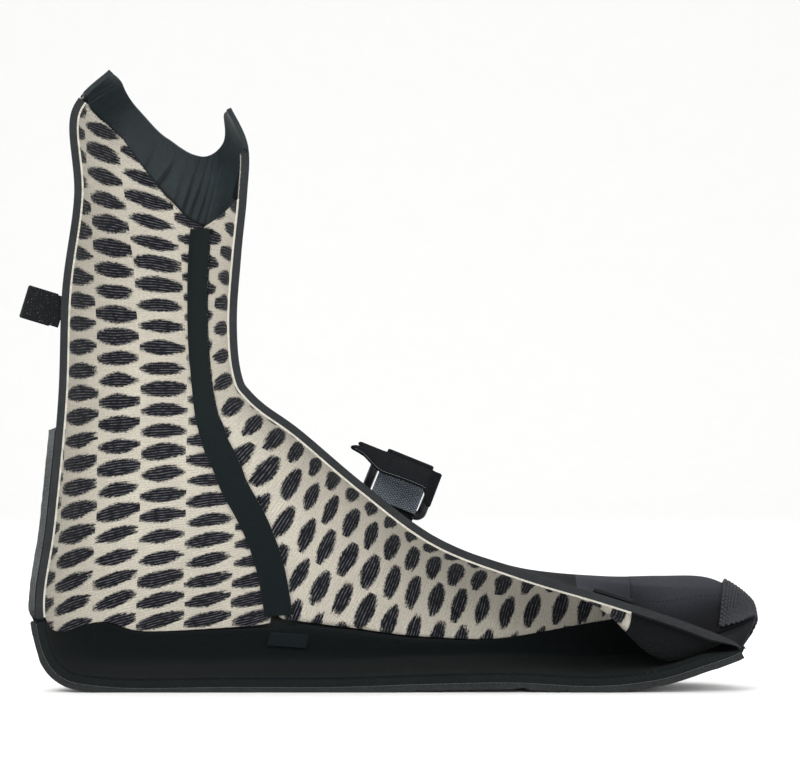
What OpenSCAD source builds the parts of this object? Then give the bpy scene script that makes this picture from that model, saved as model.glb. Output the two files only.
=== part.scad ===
// Sectioned split-toe neoprene surf boot: the inner-side half of a right boot, cut open down its
// middle so that the linings, the seam tape, the foam edges and the toe pocket can be seen.
//
// +X points to the toe, +Z is up, and the open cut face looks along -Y. The origin is on the floor,
// under the middle of the heel. Every sheet of the boot is a patch of one surface, which stations
// from the toe tip (0) round the heel to the collar rim (17) describe.

/* [Boot] */
// Length of the boot from the heel rubber to the toe tip
boot_length = 292; // [265:1:320]
// Height of the back of the collar above the floor
boot_height = 249; // [210:1:290]
// Width of the kept half at the ball of the foot
half_width = 49.5; // [44:0.5:58]

/* [Sheet thicknesses] */
// Foamed neoprene of every panel
foam_thick = 3; // [2:0.1:4]
// Pile lining bonded to the foam
lining_thick = 0.8; // [0.5:0.1:1.2]
// Moulded rubber of the outsole and heel counter
rubber_thick = 2.5; // [1.5:0.1:3.5]
// Smooth-skin rubber of the collar seal
collar_thick = 2; // [1.2:0.1:3]
// Inside seam tape
tape_thick = 0.5; // [0.3:0.1:1]
// Width of the inside seam tape
tape_width = 11.5; // [8:0.5:15]

/* [Instep strap] */
// Width of the strap and of the webbing that anchors its ring
strap_width = 20; // [16:1:25]
// Thickness of one layer of strap
strap_thick = 1.4; // [1:0.1:2]
// Diameter of the ring's moulded bar
ring_bar = 3.8; // [3:0.1:5]
// Height of the ring between the centres of its bars
ring_rise = 18.5; // [15:0.5:22]
// Length of the strap's free hook end
flap_length = 16; // [12:1:22]
// Slope of the ring's bars, down towards the toe
ring_slope = 22; // [20:1:34]
// Lean of the ring towards the open side
ring_lean = 12; // [5:1:20]

/* [Pull tab] */
// Width of the pull tab's webbing
tab_width = 13.5; // [10:0.5:20]
// How far the folded tab stands out behind the heel seam
tab_reach = 15.5; // [12:0.5:22]
// Thickness of the tab's webbing
tab_thick = 1.2; // [0.8:0.1:1.8]

/* [Fits] */
// Glue line between the panels and what is bonded onto them
glue = 0.3; // [0.2:0.05:0.5]
// Bond between the foam and its lining
bond = 0.06; // [0.04:0.01:0.1]
// Radial clearance of webbing round a ring bar
bar_clearance = 0.1; // [0.05:0.01:0.3]

/* [Hidden] */

long = boot_length / 292;
tall = boot_height / 249;
wide = half_width / 49.5;
cut_y = -16 * wide;
inside = foam_thick + lining_thick;
build_up = inside + tape_thick + 2 * glue;
rubber_skin = rubber_thick + glue;

// One row for each station: front edge x and z, rear or sole edge x and z, half width, where along
// the chord the half is widest, and how square its lower quarter is. Sizes fit a 292 by 249 boot.
stations = [
    [244.5,  17.5, 244.5,  16.5, 12.0, 0.60, 2.2],  // 0 toe tip
    [241.0,  20.5, 240.0,  14.4, 31.0, 0.60, 2.6],  // 1
    [231.5,  24.5, 229.5,  10.8, 41.0, 0.62, 3.0],  // 2 toes
    [213.6,  31.0, 211.0,   5.2, 44.5, 0.65, 3.4],  // 3
    [188.0,  39.2, 185.6,   2.6, 47.0, 0.68, 3.8],  // 4 toe joints
    [156.0,  48.8, 152.8,   4.0, 47.0, 0.72, 4.2],  // 5 ball
    [122.4,  62.0, 117.6,   3.4, 44.0, 0.75, 4.4],  // 6 arch
    [ 93.6,  83.2,  80.0,   2.2, 39.0, 0.76, 4.5],  // 7 instep
    [ 68.0, 104.8,  38.4,   2.2, 35.0, 0.74, 4.5],  // 8
    [ 54.0, 114.8,  -8.0,   2.2, 32.0, 0.70, 4.0],  // 9 heel seat
    [ 47.6, 120.8, -30.5,   8.4, 30.5, 0.62, 2.8],  // 10 heel corner
    [ 44.8, 125.2, -38.2,  32.8, 30.0, 0.58, 2.3],  // 11 heel
    [ 42.8, 136.0, -33.8,  68.0, 31.0, 0.55, 2.1],  // 12
    [ 42.4, 152.8, -29.2, 117.0, 33.0, 0.52, 2.1],  // 13 ankle
    [ 44.0, 174.8, -27.6, 160.8, 35.0, 0.50, 2.1],  // 14
    [ 46.4, 198.8, -22.8, 198.8, 36.0, 0.50, 2.1],  // 15 shaft
    [ 46.8, 218.8, -24.0, 232.0, 35.0, 0.50, 2.1],  // 16
    [ 40.0, 234.0,  -8.8, 249.2, 27.0, 0.50, 2.1]   // 17 collar rim
];
upper_square = 2.2;

// Toe pockets, at stations 0 to 7: rise of the big toe above the cut edge, depth of the split
// between the pockets, and how far the big toe reaches ahead of the outer toes.
toe_rise = [8, 15, 21, 16.5, 9, 3, 0, 0];
split_depth = [0, 3, 9, 18.5, 3, 0, 0, 0];
toe_lead = [5, 8, 3, 0, 0, 0, 0, 0];
split_y = 11;
split_reach = 6;

// Borders between panels, as angles round the section (0 front or top edge, 180 rear or sole edge).
sole_border = [76, 76, 72, 55, 65.5, 87, 89.5, 89, 91.5, 100, 119, 185]; // at stations 0 to 11
rubber_border = [66, 68, 70, 70, 74, 79, 83, 86, 88, 93, 110, 180]; // at stations 0 to 11
seam_border = [130, 73.5, 52, 46.5, 45.7, 48.3, 54.5, 59.3, 62]; // at stations 7 to 15
// The collar seal's lower and upper edges, as stations at every 15 degrees of angle.
collar_low = [15.9, 15.5, 15.0, 14.7, 14.57, 14.72, 15.05, 15.42, 15.8, 16, 16.12, 16.22, 16.32];
collar_rim = [17, 16.97, 16.8, 16.12, 15.78, 15.76, 15.98, 16.27, 16.5, 16.72, 16.91, 16.97, 17];
// The same lower edge on either side of its V, as [station, angle].
collar_front = [[14.57, 60], [14.7, 45], [15, 30], [15.5, 15], [15.9, 0]];
collar_back = [
    [14.57, 60], [14.72, 75], [15.05, 90], [15.42, 105], [15.8, 120], [16, 135], [16.12, 150], [16.32, 180]
];
// Upper edge of the instep lining, under the collar's lap.
lap_line = [[14.57, 60], [14.7, 45], [14.86, 28], [14.93, 20]];
seam_start = 7.7;
collar_start = 14.57;
toe_end = 3.5;

// ---- interpolation ----

// Smooth value of a list at a fractional index, held at both ends.
function at(list, s) =
    let (n = len(list) - 1, i = min(max(floor(s), 0), n - 1), t = min(max(s, 0), n) - i,
         a = list[max(i - 1, 0)], b = list[i], c = list[i + 1], d = list[min(i + 2, n)])
    b + 0.5 * t * ((c - a) + t * ((2 * a - 5 * b + 4 * c - d) + t * (3 * b - a - 3 * c + d)));

// Straight interpolation of a border table, held at both ends.
function border(table, s, i = 0) =
    s <= table[0][0] ? table[0][1]
    : i >= len(table) - 1 ? table[len(table) - 1][1]
    : s <= table[i + 1][0]
      ? mix(table[i][1], table[i + 1][1], (s - table[i][0]) / (table[i + 1][0] - table[i][0]))
      : border(table, s, i + 1);

function mix(a, b, t) = a + (b - a) * t;
function bell(t) = abs(t) >= 1 ? 0 : pow(1 - t * t, 2);
function unit(v) = v / norm(v);

// ---- the boot's surface ----

function front_edge(s) = let (k = at(stations, s)) [k[0] * long, 0, k[1] * tall];
function rear_edge(s) = let (k = at(stations, s)) [k[2] * long, 0, k[3] * tall];
function chord(s) = norm(front_edge(s) - rear_edge(s));

// Foam's outer face at station s and angle a, which runs from 0 at the front or top edge, through 90
// at the widest point, to 180 at the rear or sole edge.
function foam_face(s, a) =
    let (k = at(stations, s), half = k[4] * wide, widest = k[5], top = a <= 90,
         e = 2 / (top ? upper_square : k[6]), b = top ? a : a - 90,
         c = pow(max(cos(b), 0), e), d = pow(max(sin(b), 0), e),
         share = top ? widest * (1 - c) : widest + (1 - widest) * d, y = half * (top ? d : c),
         hump = top ? bell((y - 0.56 * half) / (0.44 * half)) : 0,
         split = top ? bell((y - split_y * wide) / (split_reach * wide)) : 0)
    mix(front_edge(s), rear_edge(s), share)
    + [at(toe_lead, s) * hump * long, y + cut_y,
       (at(toe_rise, s) * hump - at(split_depth, s) * split) * tall];

// Angle at which the surface stands at a distance from the cut, on its upper side.
function angle_from_cut(s, y) = asin(pow(min(y / (at(stations, s)[4] * wide), 0.98), upper_square / 2));
function split_angle(s) = angle_from_cut(s, split_y * wide);

function outward(s, a) =
    let (b = min(max(a, 1.5), 178.5), ds = 0.02, da = 1)
    unit(cross(foam_face(s, b + da) - foam_face(s, b - da), foam_face(s + ds, b) - foam_face(s - ds, b)));

// Layers thin out where the toe tip has no room for them.
function depth_at(s, d) = d <= 0 ? d : d * min(1, 0.38 * chord(s) / build_up);

// Point at a depth under the foam's outer face. The sheet's cut edges stay in the cut plane.
function skin(s, a, depth) =
    let (n = outward(s, a), edge = a < 0.01 || a > 179.99, m = edge ? unit([n[0], 0, n[2]]) : n,
         p = foam_face(s, a) - m * depth_at(s, depth))
    edge ? [p[0], cut_y, p[2]] : p;

// ---- sheets ----

// Closed solid between two depths over a region, a function that turns (u, v) into [station, angle].
module sheet(region, nu, nv, outer, inner, floor_z = -1000) {
    w = nv + 1;
    layer = (nu + 1) * w;
    points = [
        for (depth = [outer, inner]) for (i = [0:nu]) for (j = [0:nv])
            let (q = region(i / nu, j / nv), p = skin(q[0], q[1], depth))
            [p[0], p[1], max(p[2], floor_z)]
    ];
    faces = concat(
        [for (i = [0:nu - 1]) for (j = [0:nv - 1])
            let (k = i * w + j) each [[k, k + w, k + w + 1], [k, k + w + 1, k + 1]]],
        [for (i = [0:nu - 1]) for (j = [0:nv - 1])
            let (k = layer + i * w + j) each [[k, k + w + 1, k + w], [k, k + 1, k + w + 1]]],
        [for (i = [0:nu - 1]) for (k = [i * w])
            each [[k, k + layer, k + w + layer], [k, k + w + layer, k + w]]],
        [for (i = [0:nu - 1]) for (k = [i * w + nv])
            each [[k, k + w + layer, k + layer], [k, k + w, k + w + layer]]],
        [for (j = [0:nv - 1]) each [[j, j + 1, j + 1 + layer], [j, j + 1 + layer, j + layer]]],
        [for (j = [0:nv - 1]) for (k = [nu * w + j])
            each [[k, k + 1 + layer, k + 1], [k, k + layer, k + 1 + layer]]]
    );
    polyhedron(points, faces, convexity = 12);
}

// Regions of the panels. A gap, in degrees, keeps neighbours apart along their seams.
seam_gap = 0.35;
function sole_side(s) = min(at(sole_border, s), 180);
function rubber_side(s) = min(at(rubber_border, s), 180);
function seam_side(s) = at(seam_border, s - 7);
function rear_limit(s) = s < collar_start ? seam_side(s) : border(collar_back, s);
function front_limit(s, top) =
    s < seam_start ? sole_side(s) : s < collar_start ? seam_side(s) : border(top, s);

// Stations at which the rows of the long sheets stand, closer together where the borders turn.
rear_rows = [
    7.78, 8.1, 8.5, 9, 9.5, 9.9, 10.2, 10.4, 10.55, 10.7, 10.82, 10.92, 11.1, 11.5, 12, 12.5, 13,
    13.5, 14, 14.4, 14.57, 14.72, 14.9, 15.05, 15.25, 15.42, 15.65, 15.8, 15.92, 16.02, 16.12, 16.2,
    16.26
];
sole_rows = [
    0.15, 0.4, 0.7, 1, 1.4, 1.8, 2.3, 2.8, 3.3, 3.8, 4.3, 4.8, 5.3, 5.8, 6.3, 6.8, 7.3, 7.8, 8.3,
    8.7, 9.1, 9.5, 9.8, 10.05, 10.25, 10.42, 10.56, 10.68, 10.77, 10.84
];
instep_rows = [
    3.52, 3.66, 3.8, 3.95, 4.1, 4.3, 4.6, 5, 5.4, 5.8, 6.2, 6.6, 7, 7.35, 7.7, 7.95, 8.2, 8.5, 8.8,
    9.15, 9.5, 9.9, 10.4, 10.9, 11.5, 12.1, 12.7, 13.3, 13.9, 14.3, 14.57, 14.7, 14.82, 14.93
];
top_rows = [15.1, 15.3, 15.5, 15.7, 15.85];
tape_rows = [7.71, 7.78, 7.9, 8.1, 8.4, 8.8, 9.3, 9.9, 10.5, 11.1, 11.7, 12.3, 12.9, 13.5, 14.1, 14.54];
function row(rows, u) = rows[round(u * (len(rows) - 1))];

rear_area = function (u, v)
    let (s = row(rear_rows, u), a0 = rear_limit(s) + seam_gap,
         a1 = sole_side(s) >= 180 ? 180 : sole_side(s) - seam_gap)
    [s, mix(a0, max(a1, a0 + 0.6), v)];
instep_area = function (u, v)
    let (s = row(concat(instep_rows, top_rows), u)) [s, (front_limit(s, collar_front) - seam_gap) * v];
instep_lining_area = function (u, v)
    let (s = row(instep_rows, u)) [s, (front_limit(s, lap_line) - seam_gap) * v];
collar_lap_area = function (u, v)
    let (a = 26 * v) [mix(14.98, at(collar_low, a / 15) - 0.06, u), a];
sole_area = function (u, v) let (s = row(sole_rows, u)) [s, mix(sole_side(s) + seam_gap, 180, v)];
outer_toe_area = function (u, v)
    let (s = mix(0.15, toe_end - 0.02, u)) [s, (split_angle(s) - seam_gap) * v];
big_toe_area = function (u, v)
    let (s = mix(0.15, toe_end - 0.02, u)) [s, mix(split_angle(s) + seam_gap, sole_side(s) - seam_gap, v)];
collar_area = function (u, v)
    let (a = 180 * v) [mix(at(collar_low, a / 15) + 0.04, at(collar_rim, a / 15), u), a];
outsole_area = function (u, v) let (s = row(sole_rows, u)) [s, mix(rubber_side(s), 180, v)];

// The heel counter stands on the outsole's rim and rises to a point on the heel seam.
counter_line = [[9.2, 86], [10, 78], [10.9, 82], [12, 110], [12.75, 160]];
counter_rows = [
    9.2, 9.5, 9.9, 10.2, 10.4, 10.55, 10.7, 10.82, 10.92, 11.1, 11.3, 11.5, 11.75, 12, 12.15, 12.3,
    12.45, 12.6, 12.75
];
counter_area = function (u, v)
    let (s = row(counter_rows, u), a1 = rubber_side(s) >= 180 ? 180 : rubber_side(s) - 1.5)
    [s, mix(border(counter_line, s), a1, v)];
bumper_area = function (u, v)
    let (s = mix(0.2, 1.75, u)) [s, mix(split_angle(s) + 8 + 12 * u, rubber_side(s) - 1.5, v)];
webbing_area = function (u, v)
    let (s = ring_station + webbing_half * (2 * u - 1)) [s, mix(webbing_top, rubber_side(s) - 3, v)];
// The tape keeps its width square to the seam, whichever way the seam runs over the stations.
tape_area = function (u, v)
    let (s = row(tape_rows, u), a = seam_side(s), d = 0.05,
         along = foam_face(s + d, seam_side(s + d)) - foam_face(s - d, seam_side(s - d)),
         by_station = (foam_face(s + d, a) - foam_face(s - d, a)) / (2 * d),
         by_angle = foam_face(s, a + 0.5) - foam_face(s, a - 0.5), n = outward(s, a),
         step = unit(cross(along, n)) * tape_width * (v - 0.5), round = cross(by_angle, n),
         up = cross(by_station, n))
    [s + step * round / (by_station * round), a + step * up / (by_angle * up)];

module outsole() color([0.12, 0.13, 0.13])
    sheet(outsole_area, len(sole_rows) - 1, 12, -rubber_skin, -glue, 0);
module heel_counter() color([0.2, 0.22, 0.22])
    sheet(counter_area, len(counter_rows) - 1, 12, -rubber_skin, -glue);
module toe_bumper() color([0.16, 0.17, 0.18]) sheet(bumper_area, 8, 12, -rubber_skin * 0.6, -glue);
module sole_foam() color([0.2, 0.21, 0.21]) sheet(sole_area, len(sole_rows) - 1, 12, 0, foam_thick);
module rear_panel() color([0.2, 0.21, 0.21]) sheet(rear_area, len(rear_rows) - 1, 12, 0, foam_thick);
module instep_panel() color([0.2, 0.21, 0.21])
    sheet(instep_area, len(instep_rows) + len(top_rows) - 1, 12, 0, foam_thick);
module outer_toe_panel() color([0.2, 0.21, 0.22]) sheet(outer_toe_area, 12, 6, 0, foam_thick);
module big_toe_panel() color([0.18, 0.19, 0.21]) sheet(big_toe_area, 12, 14, 0, foam_thick);
module collar_seal() color([0.1, 0.12, 0.12]) sheet(collar_area, 7, 26, 0, collar_thick);
module rear_lining() color([0.72, 0.7, 0.64])
    sheet(rear_area, len(rear_rows) - 1, 12, foam_thick + bond, inside);
module instep_lining() color([0.72, 0.7, 0.64])
    sheet(instep_lining_area, len(instep_rows) - 1, 12, foam_thick + bond, inside);
// Folded edge of the collar seal, glued inside the top of the instep panel.
module collar_lap() color([0.1, 0.12, 0.12]) sheet(collar_lap_area, 6, 5, foam_thick + bond, inside);
module footbed() color([0.06, 0.07, 0.08])
    sheet(sole_area, len(sole_rows) - 1, 12, foam_thick + bond, inside);
module outer_toe_lining() color([0.07, 0.08, 0.08])
    sheet(outer_toe_area, 12, 6, foam_thick + bond, foam_thick + lining_thick / 2);
module big_toe_lining() color([0.07, 0.08, 0.08])
    sheet(big_toe_area, 12, 14, foam_thick + bond, inside);
module seam_tape() color([0.06, 0.08, 0.08])
    sheet(tape_area, len(tape_rows) - 1, 3, inside + glue, inside + glue + tape_thick);

// Melted patch that holds down the seam tape's foot on the footbed.
module tape_end_patch() color([0.2, 0.21, 0.21]) {
    patch_area = function (u, v)
        let (s = mix(7.35, 7.75, u)) [s, sole_side(s) + mix(1.5, 9, v)];
    sheet(patch_area, 4, 3, inside + glue, inside + glue + tape_thick);
}

// Doubled stay over the start of the split, on the outside of the instep panel.
module split_toe_stay() color([0.22, 0.23, 0.24]) {
    stay_area = function (u, v) let (s = mix(toe_end + 0.02, toe_end + 0.6, u)) [s, 7 * v];
    sheet(stay_area, 6, 3, -glue - 1.4, -glue - 0.2);
}

// ---- instep strap ----

ring_station = 6.68;
webbing_half = 0.28;
webbing_top = 44;
ring_y = 21 * wide;
ring_lift = 2.1;
keeper_wall = strap_thick;
keeper_bore = ring_bar / 2 + bar_clearance;
ring_angle = angle_from_cut(ring_station, ring_y);
ring_seat = foam_face(ring_station, ring_angle);
ring_out = outward(ring_station, ring_angle);
ring_at = ring_seat + ring_out * (glue + keeper_wall + keeper_bore + ring_lift);
ring_span = strap_width + 1;
corner = 2.4;

// Everything on the strap is drawn in the ring's own frame: X along its bars, Z from the anchor bar
// to the strap bar, and the origin in the middle of the anchor bar.
module in_ring_frame() translate(ring_at) rotate([0, ring_slope, 0]) rotate([ring_lean, 0, 0]) children();

module along_bar(length, shift = 0)
    translate([shift - length / 2, 0, 0]) rotate([90, 0, 90]) linear_extrude(length) children();

module strap_ring() color([0.17, 0.18, 0.2]) in_ring_frame() {
    half = ring_span / 2 + ring_bar / 2;
    for (z = [0, ring_rise])
        translate([-half + corner, 0, z]) rotate([0, 90, 0])
            cylinder(h = 2 * (half - corner), d = ring_bar, $fn = 32);
    for (x = [-half, half])
        translate([x, 0, corner]) cylinder(h = ring_rise - 2 * corner, d = ring_bar, $fn = 32);
    for (x = [-1, 1]) for (z = [0, 1])
        translate([x * (half - corner), 0, z == 1 ? ring_rise - corner : corner])
            rotate([90, x > 0 ? (z == 1 ? 0 : 90) : (z == 1 ? -90 : 180), 0])
                rotate_extrude(angle = 90, $fn = 32) translate([corner, 0]) circle(d = ring_bar, $fn = 32);
}

// Webbing loop round the anchor bar. Its tail runs down the side of the instep and settles on it.
keeper_reach = 11;
keeper_drop = -atan2(ring_out[1], norm([ring_out[0], ring_out[2]])) - atan2(ring_lift, keeper_reach);
module ring_keeper() color([0.05, 0.05, 0.06]) in_ring_frame() along_bar(strap_width) rotate(-ring_lean)
    difference() {
        union() {
            circle(r = keeper_bore + keeper_wall, $fn = 48);
            rotate(keeper_drop) translate([keeper_bore / 3, -keeper_bore - keeper_wall])
                square([keeper_reach, keeper_wall]);
        }
        circle(r = keeper_bore, $fn = 48);
    }

module anchor_webbing() color([0.05, 0.05, 0.06]) sheet(webbing_area, 6, 14, -glue - strap_thick, -glue);

tail_length = 12;
// Strap: a loop round the ring's strap bar, and the short cut tail that hangs in front of the ring.
module strap() color([0.26, 0.28, 0.31]) in_ring_frame() translate([0, 0, ring_rise]) {
    along_bar(strap_width) difference() {
        circle(r = keeper_bore + keeper_wall, $fn = 48);
        circle(r = keeper_bore, $fn = 48);
    }
    along_bar(strap_width) translate([-keeper_bore - keeper_wall, -tail_length])
        square([keeper_wall, tail_length - keeper_bore / 3]);
}

flap_gap = 0.35;
flap_droop = 12;
flap_pivot = [-keeper_bore - keeper_wall - flap_gap - strap_thick / 2, keeper_bore];
// Hook end: the strap's upper layer, folded back over the ring. It is wider than the strap, and its
// spare width lies towards the ankle.
module hook_flap() color([0.05, 0.05, 0.06]) in_ring_frame() translate([0, 0, ring_rise])
    along_bar(strap_width + 11, -6) translate(flap_pivot) rotate(180 + flap_droop) {
        translate([0, -strap_thick / 2]) square([flap_length, strap_thick]);
        circle(d = strap_thick, $fn = 24);
    }

// ---- pull tab ----

tab_station = 13.79;
tab_tilt = 17;
tab_bend = 1.4;
tab_gap = 0.3;
tab_half = tab_bend + tab_thick;
tab_root = rear_edge(tab_station) + [0, cut_y + tab_half + 0.3, 0];
// Distance of the tab's hinge line from the heel seam.
tab_root_length = 1.5;
tab_pivot = tab_half + 2 * tab_gap + tab_root_length;
module in_tab_frame()
    translate(tab_root) rotate([0, tab_tilt, 0]) translate([0, 0, -tab_width / 2]) children();

// Folded loop of webbing, tacked together at its root.
module pull_tab() color([0.05, 0.05, 0.06]) in_tab_frame() linear_extrude(tab_width) {
    fold = -tab_reach - tab_gap + tab_half;
    difference() {
        union() {
            translate([-tab_pivot, 0]) circle(r = tab_half, $fn = 40);
            translate([fold, 0]) circle(r = tab_half, $fn = 40);
            translate([fold, -tab_half]) square([-tab_pivot - fold, 2 * tab_half]);
        }
        translate([fold, 0]) circle(r = tab_bend, $fn = 40);
        translate([fold, -tab_bend]) square([-tab_pivot - tab_half / 2 - fold, 2 * tab_bend]);
    }
}

// Strip of webbing that the tab is folded from, flat beside the heel seam.
module pull_tab_stay() color([0.07, 0.07, 0.08]) {
    stay_area = function (u, v)
        let (s = mix(tab_station - 0.2, tab_station + 0.22, u)) [s, mix(150, 164, v)];
    sheet(stay_area, 4, 4, -glue - 1, -glue);
}

// Root of the tab, where both its ends are sewn through the heel seam.
module pull_tab_root() color([0.07, 0.07, 0.08]) {
    margin = 2;
    in_tab_frame() translate([-tab_root_length - tab_gap, -tab_thick, margin])
        cube([tab_root_length - 2 * tab_gap, 2 * tab_thick, tab_width - 2 * margin]);
}

outsole();
heel_counter();
toe_bumper();
sole_foam();
rear_panel();
instep_panel();
outer_toe_panel();
big_toe_panel();
collar_seal();
rear_lining();
instep_lining();
footbed();
outer_toe_lining();
big_toe_lining();
seam_tape();
tape_end_patch();
split_toe_stay();
anchor_webbing();
ring_keeper();
strap_ring();
strap();
hook_flap();
pull_tab();
pull_tab_stay();
pull_tab_root();
collar_lap();
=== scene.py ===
import math
import bpy
import numpy as np
from mathutils import Euler, Matrix, Vector


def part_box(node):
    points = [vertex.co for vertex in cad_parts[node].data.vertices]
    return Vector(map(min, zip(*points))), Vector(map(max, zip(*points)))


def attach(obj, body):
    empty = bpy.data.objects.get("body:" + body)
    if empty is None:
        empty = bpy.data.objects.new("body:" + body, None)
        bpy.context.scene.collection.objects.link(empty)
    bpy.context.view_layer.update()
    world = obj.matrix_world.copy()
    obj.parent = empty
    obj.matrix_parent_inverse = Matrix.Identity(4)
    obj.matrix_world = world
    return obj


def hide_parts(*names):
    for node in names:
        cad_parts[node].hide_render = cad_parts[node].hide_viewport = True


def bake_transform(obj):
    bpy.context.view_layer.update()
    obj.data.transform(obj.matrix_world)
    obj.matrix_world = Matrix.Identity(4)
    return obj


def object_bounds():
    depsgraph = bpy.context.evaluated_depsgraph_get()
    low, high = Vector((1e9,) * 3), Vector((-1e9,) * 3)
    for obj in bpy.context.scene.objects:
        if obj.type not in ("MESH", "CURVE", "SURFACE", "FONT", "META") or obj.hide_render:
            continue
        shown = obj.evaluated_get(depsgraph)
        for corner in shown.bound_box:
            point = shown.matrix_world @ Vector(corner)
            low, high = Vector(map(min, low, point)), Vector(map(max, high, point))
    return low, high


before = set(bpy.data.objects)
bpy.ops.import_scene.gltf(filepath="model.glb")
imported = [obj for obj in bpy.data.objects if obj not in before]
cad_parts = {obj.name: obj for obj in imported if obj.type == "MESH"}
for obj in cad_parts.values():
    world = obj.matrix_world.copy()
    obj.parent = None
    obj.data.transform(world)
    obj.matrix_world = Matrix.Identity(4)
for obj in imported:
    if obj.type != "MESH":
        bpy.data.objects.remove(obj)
cadLow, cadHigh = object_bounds()
mm = 0.001

# ring, strap and tab sizes as in the part's source, in millimetres
bootForm = {
    "foam": 3.0, "inside": 3.8, "bond": 0.06, "glue": 0.3, "rubber": 2.8, "collar": 2.0, "tape": 0.5,
    "tapeWidth": 11.5, "upperSquare": 2.2, "splitY": 11.0, "splitReach": 6.0, "seamGap": 0.35,
}
ringForm = {"station": 6.68, "webbingHalf": 0.28, "webbingTop": 44, "fromCut": 21, "lift": 2.1, "slope": 22,
            "lean": 12, "rise": 18.5, "bar": 3.8, "clearance": 0.1, "width": 20, "thick": 1.4, "tail": 12,
            "flapLength": 16, "flapDroop": 12, "flapGap": 0.35, "flapLeft": -21.5, "flapRight": 14.2,
            "reach": 11}
tabForm = {"station": 13.79, "tilt": 17, "half": 2.6, "pivot": 4.7, "reach": 15.5, "gap": 0.3, "thick": 1.2,
           "width": 13.5, "neckHalf": 6.3, "neckThick": 2.3}
# the boot's shape: front edge x and z, rear or sole edge x and z, half width, widest share, lower squareness
stations = np.array([
    [244.5, 17.5, 244.5, 16.5, 12.0, 0.60, 2.2], [241.0, 20.5, 240.0, 14.4, 31.0, 0.60, 2.6],
    [231.5, 24.5, 229.5, 10.8, 41.0, 0.62, 3.0], [213.6, 31.0, 211.0, 5.2, 44.5, 0.65, 3.4],
    [188.0, 39.2, 185.6, 2.6, 47.0, 0.68, 3.8], [156.0, 48.8, 152.8, 4.0, 47.0, 0.72, 4.2],
    [122.4, 62.0, 117.6, 3.4, 44.0, 0.75, 4.4], [93.6, 83.2, 80.0, 2.2, 39.0, 0.76, 4.5],
    [68.0, 104.8, 38.4, 2.2, 35.0, 0.74, 4.5], [54.0, 114.8, -8.0, 2.2, 32.0, 0.70, 4.0],
    [47.6, 120.8, -30.5, 8.4, 30.5, 0.62, 2.8], [44.8, 125.2, -38.2, 32.8, 30.0, 0.58, 2.3],
    [42.8, 136.0, -33.8, 68.0, 31.0, 0.55, 2.1], [42.4, 152.8, -29.2, 117.0, 33.0, 0.52, 2.1],
    [44.0, 174.8, -27.6, 160.8, 35.0, 0.50, 2.1], [46.4, 198.8, -22.8, 198.8, 36.0, 0.50, 2.1],
    [46.8, 218.8, -24.0, 232.0, 35.0, 0.50, 2.1], [40.0, 234.0, -8.8, 249.2, 27.0, 0.50, 2.1]])
toeRise = [8, 15, 21, 16.5, 9, 3, 0, 0]
splitDepth = [0, 3, 9, 18.5, 3, 0, 0, 0]
toeLead = [5, 8, 3, 0, 0, 0, 0, 0]
soleBorder = [76, 76, 72, 55, 65.5, 87, 89.5, 89, 91.5, 100, 119, 185]
rubberBorder = [66, 68, 70, 70, 74, 79, 83, 86, 88, 93, 110, 180]
seamBorder = [130, 73.5, 52, 46.5, 45.7, 48.3, 54.5, 59.3, 62]
collarLow = [15.9, 15.5, 15.0, 14.7, 14.57, 14.72, 15.05, 15.42, 15.8, 16, 16.12, 16.22, 16.32]
collarRim = [17, 16.97, 16.8, 16.12, 15.78, 15.76, 15.98, 16.27, 16.5, 16.72, 16.91, 16.97, 17]
collarFront = [[14.57, 60], [14.7, 45], [15, 30], [15.5, 15], [15.9, 0]]
collarBack = [[14.57, 60], [14.72, 75], [15.05, 90], [15.42, 105], [15.8, 120], [16, 135], [16.12, 150],
              [16.32, 180]]
lapLine = [[14.57, 60], [14.7, 45], [14.86, 28], [14.93, 20]]
counterLine = [[9.2, 86], [10, 78], [10.9, 82], [12, 110], [12.75, 160]]
# rows stand closer together where the borders turn
rearRows = [7.78, 8.1, 8.5, 9, 9.5, 9.9, 10.2, 10.4, 10.55, 10.7, 10.82, 10.92, 11.1, 11.5, 12, 12.5, 13,
            13.5, 14, 14.4, 14.57, 14.72, 14.9, 15.05, 15.25, 15.42, 15.65, 15.8, 15.92, 16.02, 16.12,
            16.2, 16.26]
soleRows = [0.15, 0.4, 0.7, 1, 1.4, 1.8, 2.3, 2.8, 3.3, 3.8, 4.3, 4.8, 5.3, 5.8, 6.3, 6.8, 7.3, 7.8, 8.3,
            8.7,
            9.1, 9.5, 9.8, 10.05, 10.25, 10.42, 10.56, 10.68, 10.77, 10.84]
instepRows = [3.52, 3.66, 3.8, 3.95, 4.1, 4.3, 4.6, 5, 5.4, 5.8, 6.2, 6.6, 7, 7.35, 7.7, 7.95, 8.2, 8.5, 8.8,
              9.15, 9.5, 9.9, 10.4, 10.9, 11.5, 12.1, 12.7, 13.3, 13.9, 14.3, 14.57, 14.7, 14.82, 14.93]
topRows = [15.1, 15.3, 15.5, 15.7, 15.85]
tapeRows = [7.71, 7.78, 7.9, 8.1, 8.4, 8.8, 9.3, 9.9, 10.5, 11.1, 11.7, 12.3, 12.9, 13.5, 14.1, 14.54]
counterRows = [9.2, 9.5, 9.9, 10.2, 10.4, 10.55, 10.7, 10.82, 10.92, 11.1, 11.3, 11.5, 11.75, 12, 12.15,
               12.3,
               12.45, 12.6, 12.75]
bumperRows = np.linspace(0.2, 1.75, 9)
toeRows = np.linspace(0.15, 3.518, 13)
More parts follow.
